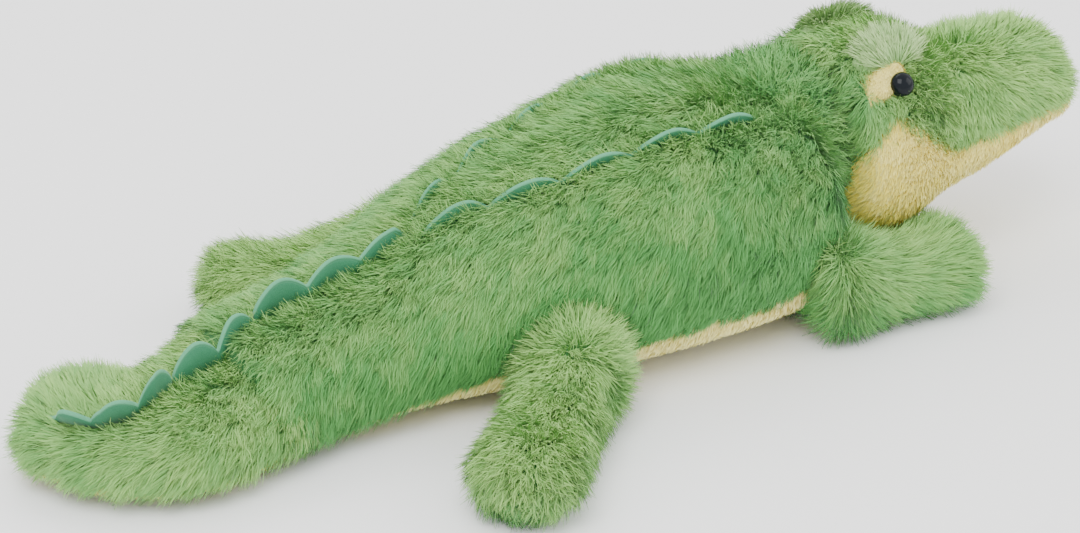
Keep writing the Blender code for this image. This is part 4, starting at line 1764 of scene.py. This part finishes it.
@dataclass
class Leg:
    """A leg with its sole."""

    name: str
    axis: tuple[float, float]
    heading: float
    reach: float
    seed: int
    trunk: Trunk
    half_width: float = 0.028
    height: float = 0.040
    root_depth: float = 0.026
    root_dome: float = 0.012
    foot_dome: float = 0.023
    hem: float = 50.0
    toe_drop: float = 32.0
    depth: float = 8 * MM
    shares: tuple[Row, ...] = (
        (0.00, 0.0, 0.97, 0.0, 1.42),
        (0.40, 0.0, 0.93, 0.0, 1.12),
        (0.70, 0.0, 0.96, 0.0, 1.00),
        (1.00, 0.0, 1.03, 0.0, 1.05),
    )
    pile: Pile = Pile(length=13.5 * MM, upright=0.45, pull=0.35, splay=0.34)
    end: float = 0.02
    shade: float = 0.98

    def form(self) -> Form:
        """The leg's form.

        Returns:
            The form.
        """
        turn = math.radians(self.heading)
        along = Vector((math.cos(turn), math.sin(turn), 0))
        start = Vector((*self.axis, 0)) - along * self.root_depth
        return Form(
            self.shares, start, along, self.root_depth + self.reach, 0.0,
            self.half_width, self.height, 2.2, 2.6,
            rear_dome=self.root_dome, front_dome=self.foot_dome,
        )

    def lay(self, ring: Ring, angle: float) -> Lie:
        """How the pile lies: out to the foot, and paler there.

        Args:
            ring: The ring.
            angle: The angle on it.

        Returns:
            The lie.
        """
        away = from_top(angle)
        held = self.trunk.form().holds(ring.point(angle, self.depth), 15 * MM)
        foot = max(ring.share - 0.4, 0.0) + 0.15 * (ring.reach > 0)
        down = 0.3 * away_from(angle, TOP, 40.0)
        along = -0.5 + 1.4 * smooth_step(ring.share / 0.4) - 0.4 * smooth_step(ring.turn) * (ring.reach < 0)
        toe = smooth_step(ring.turn / 0.8) * (ring.reach > 0)
        along *= 1 - 0.8 * toe
        length = 0.95 - self.end * toe
        # Tone: darker down the sides, as painted shade away from the top, and a little paler towards the
        # foot.
        return Lie(along, down, 0.0 if held else 1.0, length, self.shade - 0.36 * away**2 + 0.06 * foot)

    def build(self, studio: Studio) -> None:
        """Makes the backing, the pile and the sole.

        Args:
            studio: The studio.
        """
        spine = self.form().rings(24)
        rings = dome(spine[0], -self.root_dome, 4) + spine + dome(spine[-1], self.foot_dome, 10)
        studio.backing(f"{self.name}_backing", rings, self.depth, self.name, self.name)
        drops = [self.toe_drop * smooth_step(ring.turn) * (ring.reach > 0) for ring in rings]
        angles = [over_angles(self.hem + drop, 57) for drop in drops]
        scalp = make_scalp(rings, angles, self.depth, self.lay)
        studio.pile(f"{self.name}_pile", scalp, self.pile, self.seed, self.name)
        lower = rings[6:-8]
        turns = [under_angles(self.hem, 31)] * len(lower)
        studio.panel(f"{self.name}_sole_cloth", lower, turns, self.name, f"{self.name}_sole", depth=4 * MM)


@dataclass
class Neck:
    """The neck's ball, in short curly pile, dark in colour and darker still as painted shade in the recess
    between trunk and head, with its throat panel.
    """

    trunk: Trunk
    radius: float = 0.044
    forward: float = 0.146
    up: float = 0.073
    seam: float = 28.0
    depth: float = 4 * MM
    pile: Pile = Pile(
        density=1.1e6, length=11 * MM, upright=0.7, clump=4.0 * MM,
        pull=0.4, splay=0.9, stray=0.5, curl=4 * MM,
    )

    def ring(self) -> Ring:
        """The ball's upright middle ring.

        Returns:
            The ring.
        """
        return Ring(
            Vector((self.forward, 0, 0)), Vector((1, 0, 0)), Vector((0, 1, 0)), self.radius,
            self.up - self.radius, self.up, self.up + self.radius, 2.0, 2.0,
        )

    def lay(self, ring: Ring, angle: float) -> Lie:
        """How the pile lies: in every direction, dark all over, as the pile's own colour and as painted shade
        of the recess.

        Args:
            ring: The ring.
            angle: The angle on it.

        Returns:
            The lie.
        """
        held = self.trunk.form().holds(ring.point(angle, self.depth), 12 * MM)
        # The low tone is partly the pile's darker colour and partly painted shade in the recess between trunk
        # and head.
        return Lie(0.1, 0.2 * away_from(angle, TOP, 14.0), 0.0 if held else 1.0, 1.0, 0.24)

    def build(self, studio: Studio) -> None:
        """Makes the backing, the pile and the throat panel.

        Args:
            studio: The studio.
        """
        middle = self.ring()
        rings = dome(middle, -self.radius, 14) + [middle] + dome(middle, self.radius, 14)
        studio.backing("neck_backing", rings, self.depth, "neck", "neck")
        angles = [over_angles(self.seam + 4, 61)] * len(rings)
        scalp = make_scalp(rings, angles, self.depth, self.lay)
        studio.pile("neck_pile", scalp, self.pile, 71, "neck")
        lower = rings[8:-4]
        turns = [under_angles(self.seam, 31)] * len(lower)
        studio.panel("throat_cloth", lower, turns, "neck", "throat_panel", depth=1 * MM, tuck=3 * MM)


@dataclass
class Head:
    """The head, with its chin panel, brows, eye patches and eyes."""

    rear: float = 0.172
    length: float = 0.121
    half_width: float = 0.054
    height: float = 0.129
    aside: float = -0.004
    nape: float = 0.012
    snout: float = 0.024
    depth: float = 7 * MM
    shares: tuple[Row, ...] = (
        (0.00, 1.0, 1.000, 0.285, 0.970),
        (0.22, 1.0, 0.950, 0.255, 1.000),
        (0.46, 1.0, 0.780, 0.290, 0.880),
        (0.66, 1.0, 0.800, 0.320, 0.850),
        (1.00, 1.0, 0.700, 0.430, 0.832),
    )
    chin_seams: tuple[float, ...] = (-10, -20, -12, -5, 3, 12, 8, 4, 5, 10, 16)
    eye_share: float = 0.148
    eye_angle: float = 140.0
    patch_share: float = 0.095
    patch_angle: float = 143.0
    brow_share: float = 0.178
    brow_angle: float = 117.0
    brow_half: tuple[float, float, float] = (15.0 * MM, 9.0 * MM, 4.0 * MM)
    eye_radius: float = 6.0 * MM
    eye_rise: float = 4.6 * MM
    pile: Pile = Pile(length=14 * MM, upright=0.45, pull=0.38, splay=0.42)
    opening_middle: tuple[float, float] = (3.3 * MM, 8.6 * MM)
    opening_half: tuple[float, float] = (11.8 * MM, 7.0 * MM)
    opening_tilt: float = 22.0
    bulb_share: float = 0.63
    dip_share: float = 0.56
    crown_share: float = 0.06
    fall_width: float = 14.0
    jowl_drop: float = 16 * MM
    lip_drop: float = 4 * MM
    patch_lift: float = 4 * MM

    def form(self) -> Form:
        """The head's form.

        Returns:
            The form.
        """
        start = Vector((self.rear, 0, 0))
        return Form(
            self.shares, start, Vector((1, 0, 0)), self.length, self.aside,
            self.half_width, self.height, 2.15, 2.30,
        )

    def spot(self, share: float, angle: float) -> tuple[Vector, Vector, Vector]:
        """A point on the head, its outward normal and the way forward along the skin.

        Args:
            share: The head's share.
            angle: The angle on its ring.

        Returns:
            The point, the normal and the way forward.
        """
        form = self.form()
        ring, ahead = form.ring(share), form.ring(share + 0.006)
        point = ring.point(angle)
        forward = (ahead.point(angle) - point).normalized()
        round_way = (ring.point(angle + 1) - ring.point(angle - 1)).normalized()
        out = forward.cross(round_way).normalized()
        if out.dot(point - ring.foot - Vector((0, 0, ring.waist))) < 0:
            out = -out
        return point, out, forward

    def patch_offset(self, point: Vector) -> tuple[float, Vector]:
        """How far a point is outside the nearer eye patch's opening, and which way it lies.

        Args:
            point: A point on the head.

        Returns:
            The distance, below zero inside the opening, and the way out from its middle.
        """
        best, way = 1.0, Vector((0, 0, 1))
        long, tall = self.opening_half
        sine, cosine = math.sin(math.radians(self.opening_tilt)), math.cos(math.radians(self.opening_tilt))
        for side in Side:
            place, out, forward = self.patch_spots[side]
            offset = point - place
            up = out.cross(forward) * side.value
            x, y = offset.dot(forward) - self.opening_middle[0], offset.dot(up) - self.opening_middle[1]
            if offset.dot(out) < -25 * MM:
                continue
            x, y = x * cosine + y * sine, y * cosine - x * sine
            reach = math.hypot(x / long, y / tall)
            gap = (reach - 1) * math.hypot(x, y) / max(reach, 0.01)
            if gap < best:
                lean, climb = x / long**2, y / tall**2
                level = forward * (lean * cosine - climb * sine)
                best, way = gap, (level + up * (lean * sine + climb * cosine)).normalized()
        return best, way

    def seam_at(self, ring: Ring) -> float:
        """The chin's seam angle at a ring, which drops round the rear of the head.

        Args:
            ring: The ring.

        Returns:
            The seam's angle below the side.
        """
        table = [(i / (len(self.chin_seams) - 1), seam) for i, seam in enumerate(self.chin_seams)]
        drop = 18.0 * smooth_step(ring.turn / 1.2) if ring.reach < 0 else 0.0
        return row_at(table, min(max(ring.share, 0.0), 1.0))[1] + drop

    def lay(self, ring: Ring, angle: float) -> Lie:
        """How the pile lies: forward on the snout's bulb, back and down behind it.

        Args:
            ring: The ring.
            angle: The angle on it.

        Returns:
            The lie.
        """
        away = from_top(angle)
        bulb = 1 / (1 + math.exp(-(ring.share - self.bulb_share) / 0.06))
        gap, _ = self.patch_offset(ring.point(angle))
        trim = 0.55 if angle > TOP else 0.95
        short = trim + (1 - trim) * smooth_step(gap / (9 * MM))
        seam = self.seam_at(ring)
        hem = 0.62 + 0.38 * smooth_step(min(angle + seam, 180 + seam - angle) / 22.0)
        dip = bell(ring.share - self.dip_share, 0.08)
        nape = bell(ring.share, 0.09)
        crown = bell(ring.share - self.crown_share, 0.14) * (1 - smooth_step(away * 1.5))
        nose = smooth_step(ring.turn) * (ring.reach > 0)
        # Tone: painted shade down the sides, in the dip behind the snout's bulb and round the nape where the
        # head meets the neck; a little paler on the bulb.
        tone = 0.88 - 0.08 * away - 0.06 * dip - 0.40 * nape * smooth_step(away * 3) + 0.04 * bulb
        length = short * hem * (0.86 - 0.22 * dip - 0.04 * bulb - 0.40 * nose - 0.4 * crown)
        fold = bell(ring.share - self.bulb_share, 0.10)
        down = (0.45 + 0.5 * fold) * away_from(angle, TOP, self.fall_width)
        return Lie(-0.55 + 1.1 * bulb, down, 0.0 if gap < 0 else 1.0, length, tone)

    def build(self, studio: Studio) -> None:
        """Makes the backing, the pile, the chin, the brows and the eyes.

        Args:
            studio: The studio.
        """
        self.patch_spots = {side: self.spot(self.patch_share, side.angle(self.patch_angle)) for side in Side}
        spine = self.form().rings(40)
        rings = dome(spine[0], -self.nape, 6) + spine + dome(spine[-1], self.snout, 10)
        studio.backing("head_backing", rings, self.depth, "head", "head")
        scalp_rings = rings[2:]
        angles = [over_angles(self.seam_at(ring) + 3, 81) for ring in scalp_rings]
        scalp = make_scalp(scalp_rings, angles, self.depth, self.lay)
        for i, j in np.ndindex(scalp.cover.shape):
            gap, way = self.patch_offset(Vector(scalp.points[i, j]))
            weight = 1 - smooth_step(gap / (8 * MM))
            scalp.comb[i, j] = scalp.comb[i, j] * (1 - weight) + np.array(way) * weight * 0.55
        studio.halved_pile("head", scalp, self.pile, 85, "head")
        lower = rings[3:-1]
        turns = [under_angles(self.seam_at(ring) - 5, 49) for ring in lower]
        face = studio.panel("chin_cloth", lower, turns, "head", "chin_panel", depth=1.5 * MM, bulge=self.jowl)
        studio.pile("chin_nap", nap_scalp(face, turns, (0.05, 0.75)), NAP, 91, "head", Slot.NAP)
        for side in Side:
            self.build_brow(studio, side)
            self.build_patch(studio, side)
            self.build_eye(studio, side)

    def jowl(self, ring: Ring, angle: float) -> float:
        """How far the chin hangs out under the jaw.

        Args:
            ring: The ring.
            angle: The angle on it.

        Returns:
            The distance.
        """
        low = max(0.0, math.sin(math.radians(-angle))) ** 1.5
        rear = self.jowl_drop * bell(ring.share - 0.14, 0.26)
        return (rear + self.lip_drop * bell(ring.share - 0.5, 0.15)) * low

    def build_brow(self, studio: Studio, side: Side) -> None:
        """Makes the pale tuft over an eye.

        Args:
            studio: The studio.
            side: Its side.
        """
        point, out, forward = self.spot(self.brow_share, side.angle(self.brow_angle))
        turn = Matrix((forward, out.cross(forward), out)).transposed()
        middle = point - out * 6 * MM
        rows, columns = 14, 28
        rise = np.linspace(4, 90, rows)
        points = np.zeros((rows, columns, 3))
        for i, lift in enumerate(rise):
            for j in range(columns):
                spin = 2 * math.pi * j / (columns - 1)
                local = Vector((math.cos(spin), math.sin(spin), 0)) * math.cos(math.radians(lift))
                local.z = math.sin(math.radians(lift))
                local = Vector(a * b for a, b in zip(local, self.brow_half))
                points[i, j] = middle + turn @ local
        upward = (Vector((0, 0, 1)) - out * out.z).normalized()
        comb = unit(points - np.array(middle - upward * 11.5 * MM)) * 0.8
        full = np.ones((rows, columns))
        scalp = Scalp(points, comb, full, full, 0.38 * full, np.array(middle))
        name = side.word
        sizes = replace(self.pile, density=3.0e6, length=9.5 * MM, upright=0.3, splay=0.4)
        studio.pile(f"{name}_brow_pile", scalp, sizes, 95 + side.value, "head", Slot.BROW)
        pad = copy_of_node(studio, f"{name}_brow", f"{name}_brow_pad", 1.2 * MM, out * -6.5 * MM)
        pad.data.materials.append(studio.finishes.pad)
        studio.settle(pad, "head", Slot.BROW, f"{name}_brow", fill=0.7)

    def build_patch(self, studio: Studio, side: Side) -> None:
        """Makes the yellow wedge that an eye sits on.

        Args:
            studio: The studio.
            side: Its side.
        """
        name = side.word
        long, tall = self.opening_half
        form = self.form()
        ring = form.ring(self.patch_share)
        degree = (ring.point(TOP + 51) - ring.point(TOP + 50)).length
        rings = []
        for offset in self.opening_middle[0] + np.linspace(-long - 2 * MM, long + 2 * MM, 23):
            share = self.patch_share + offset / self.length
            behind = min(max(-share * self.length / self.nape, 0.0), 0.95)
            rings.append(replace(form.ring(max(share, 0.0)), reach=-self.nape, turn=math.asin(behind)))
        reach = (tall + 6 * MM) / degree
        middle = self.patch_angle - TOP - self.opening_middle[1] / degree
        turns = [TOP + side.value * np.linspace(middle + reach, middle - reach, 21)] * len(rings)
        face = studio.panel(
            f"{name}_eye_patch_cloth", rings, turns, "head", f"{name}_eye_patch",
            depth=6.5 * MM, thick=2.5 * MM, tuck=2 * MM, bulge=self.patch_rise,
        )
        nap = replace(NAP, length=2.0 * MM)
        heart = np.array(rings[0].foot + Vector((0, 0, rings[0].waist)))
        scalp = replace(nap_scalp(face, turns), heart=heart)
        studio.pile(f"{name}_eye_patch_nap", scalp, nap, 97, "head", Slot.NAP)

    def patch_rise(self, ring: Ring, angle: float) -> float:
        """How far an eye patch rises inside its opening in the pile."""
        gap, _ = self.patch_offset(ring.point(angle))
        return self.patch_lift * (1 - smooth_step((gap + 2 * MM) / (4 * MM)))

    def build_eye(self, studio: Studio, side: Side) -> None:
        """Makes a glossy domed eye, and dresses its washer.

        Args:
            studio: The studio.
            side: Its side.
        """
        name = side.word
        point, out, forward = self.spot(self.eye_share, side.angle(self.eye_angle))
        turn = Matrix((forward, out.cross(forward), out)).transposed()
        profile = [
            (self.eye_radius * math.cos(a), self.eye_rise * math.sin(a))
            for a in np.linspace(math.radians(88), 0, 16)
        ]
        profile += [(self.eye_radius * 0.97, -1.2 * MM), (self.eye_radius * 0.9, -3.0 * MM)]
        profile += [(2.1 * MM, -3.0 * MM), (2.1 * MM, -14 * MM), (0.4 * MM, -14 * MM)]
        steps = 48
        points = []
        for radius, height in profile:
            for j in range(steps):
                spin = 2 * math.pi * j / steps
                local = Vector((radius * math.cos(spin), radius * math.sin(spin), height))
                points.append(point - out * 1.2 * MM + turn @ local)
        faces = grid_faces(len(profile), steps, Mesher.LOOP)
        faces += [tuple(range(steps)), tuple(range((len(profile) - 1) * steps, len(profile) * steps))]
        eye = face_outwards(mesh_object(f"{name}_eye_dome", np.array(points), faces))
        eye.data.set_sharp_from_angle(angle=math.radians(40))
        eye.data.materials.append(studio.finishes.eye)
        studio.settle(eye, "head", Slot.EYE, f"{name}_eye")
        washer = studio.frame["nodes"][f"{name}_eye_washer"]
        washer.data.materials.clear()
        washer.data.materials.append(studio.finishes.plastic)


def copy_of_node(studio: Studio, node: str, name: str, voxel: float, shift: Vector) -> Thing:
    """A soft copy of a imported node: merged, remeshed evenly and smoothed.

    Args:
        studio: The studio.
        node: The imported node.
        name: The copy's name.
        voxel: The size of its faces.
        shift: Where it moves from the node.

    Returns:
        The copy.
    """
    mesh = studio.frame["nodes"][node].data.copy()
    mesh.materials.clear()
    thing = bpy.data.objects.new(name, mesh)
    bpy.context.scene.collection.objects.link(thing)
    face_outwards(thing)
    remesh = thing.modifiers.new("even", "REMESH")
    remesh.mode = "VOXEL"
    remesh.voxel_size = voxel
    smooth = thing.modifiers.new("soft", "SMOOTH")
    smooth.iterations = 4
    bpy.context.view_layer.update()
    graph = bpy.context.evaluated_depsgraph_get()
    made = bpy.data.meshes.new_from_object(thing.evaluated_get(graph))
    thing.modifiers.clear()
    thing.data = made
    made.name = name
    made.transform(Matrix.Translation(shift))
    made.shade_smooth()
    return thing


# Set


@dataclass
class PhotoSet:
    """The floor, the lights and the camera."""

    azimuth: float = -30.0
    elevation: float = 28.0
    distance: float = 1.35
    lens: float = 95.7
    sky: float = 1.6
    aim: tuple[float, float, float] = (0.008, -0.012, 0.045)

    def build(self) -> None:
        """Makes the set."""
        points = np.array([(-8, -8, 0), (8, -8, 0), (8, 8, 0), (-8, 8, 0)], float) - [0, 0, 0.2 * MM]
        floor = mesh_object("floor", points, [(0, 1, 2, 3)])
        floor.data.materials.append(FloorFinish().material())
        world = bpy.data.worlds.new("studio")
        world.use_nodes = True
        background = world.node_tree.nodes["Background"]
        background.inputs["Color"].default_value = (*WHITE, 1.0)
        background.inputs["Strength"].default_value = self.sky
        bpy.context.scene.world = world
        self.light("key_light", (-0.7, -0.8, 2.0), 1.4, 42.0)
        self.light("fill_light", (1.6, -0.9, 1.1), 1.2, 12.0)
        self.light("back_light", (0.2, 1.5, 1.6), 1.4, 16.0)
        self.camera()

    def light(self, name: str, place: tuple[float, float, float], size: float, power: float) -> None:
        """Adds a square soft light that faces the crocodile.

        Args:
            name: The lamp's name.
            place: Where it hangs.
            size: Its width.
            power: Its power in watts.
        """
        data = bpy.data.lights.new(name, "AREA")
        data.size = size
        data.energy = power
        lamp = bpy.data.objects.new(name, data)
        lamp.location = place
        lamp.rotation_euler = (Vector(self.aim) - Vector(place)).to_track_quat("-Z", "Y").to_euler()
        bpy.context.scene.collection.objects.link(lamp)

    def camera(self) -> None:
        """Adds the camera at the photograph's angle."""
        turn, lift = math.radians(self.azimuth), math.radians(self.elevation)
        back = Vector((math.sin(turn) * math.cos(lift), -math.cos(turn) * math.cos(lift), math.sin(lift)))
        data = bpy.data.cameras.new("camera")
        data.lens, data.sensor_width, data.sensor_fit = self.lens, 36.0, "HORIZONTAL"
        data.clip_start, data.clip_end = 0.01, 50.0
        camera = bpy.data.objects.new("camera", data)
        camera.location = Vector(self.aim) + back * self.distance
        camera.rotation_euler = (-back).to_track_quat("-Z", "Y").to_euler()
        bpy.context.scene.collection.objects.link(camera)
        bpy.context.scene.camera = camera


def main() -> None:
    """Builds the set and dresses the crocodile."""
    logging.basicConfig(level=logging.INFO, format="%(name)s %(message)s")
    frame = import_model()
    PhotoSet().build()
    studio = Studio(frame, Finishes.make(), PileMaker())
    plain = Trunk()
    paw = replace(Leg.pile, length=15.5 * MM)
    legs = (
        Leg("rear_right_leg", (-0.021, -0.084), 226, 0.066, 101, plain),
        Leg("rear_left_leg", (-0.036, 0.074), 172, 0.066, 111, plain),
        Leg("fore_right_leg", (0.160, -0.062), 358, 0.044, 121, plain, end=0.5, shade=0.64, pile=paw),
        Leg("fore_left_leg", (0.160, 0.062), 3, 0.044, 131, plain, end=0.5, shade=0.64, pile=paw),
    )
    trunk = replace(plain, legs=tuple(leg.form() for leg in legs))
    trunk.build(studio)
    Tail(trunk).build(studio)
    for leg in legs:
        leg.build(studio)
    Neck(trunk).build(studio)
    Head().build(studio)


if __name__ == "__main__":
    main()
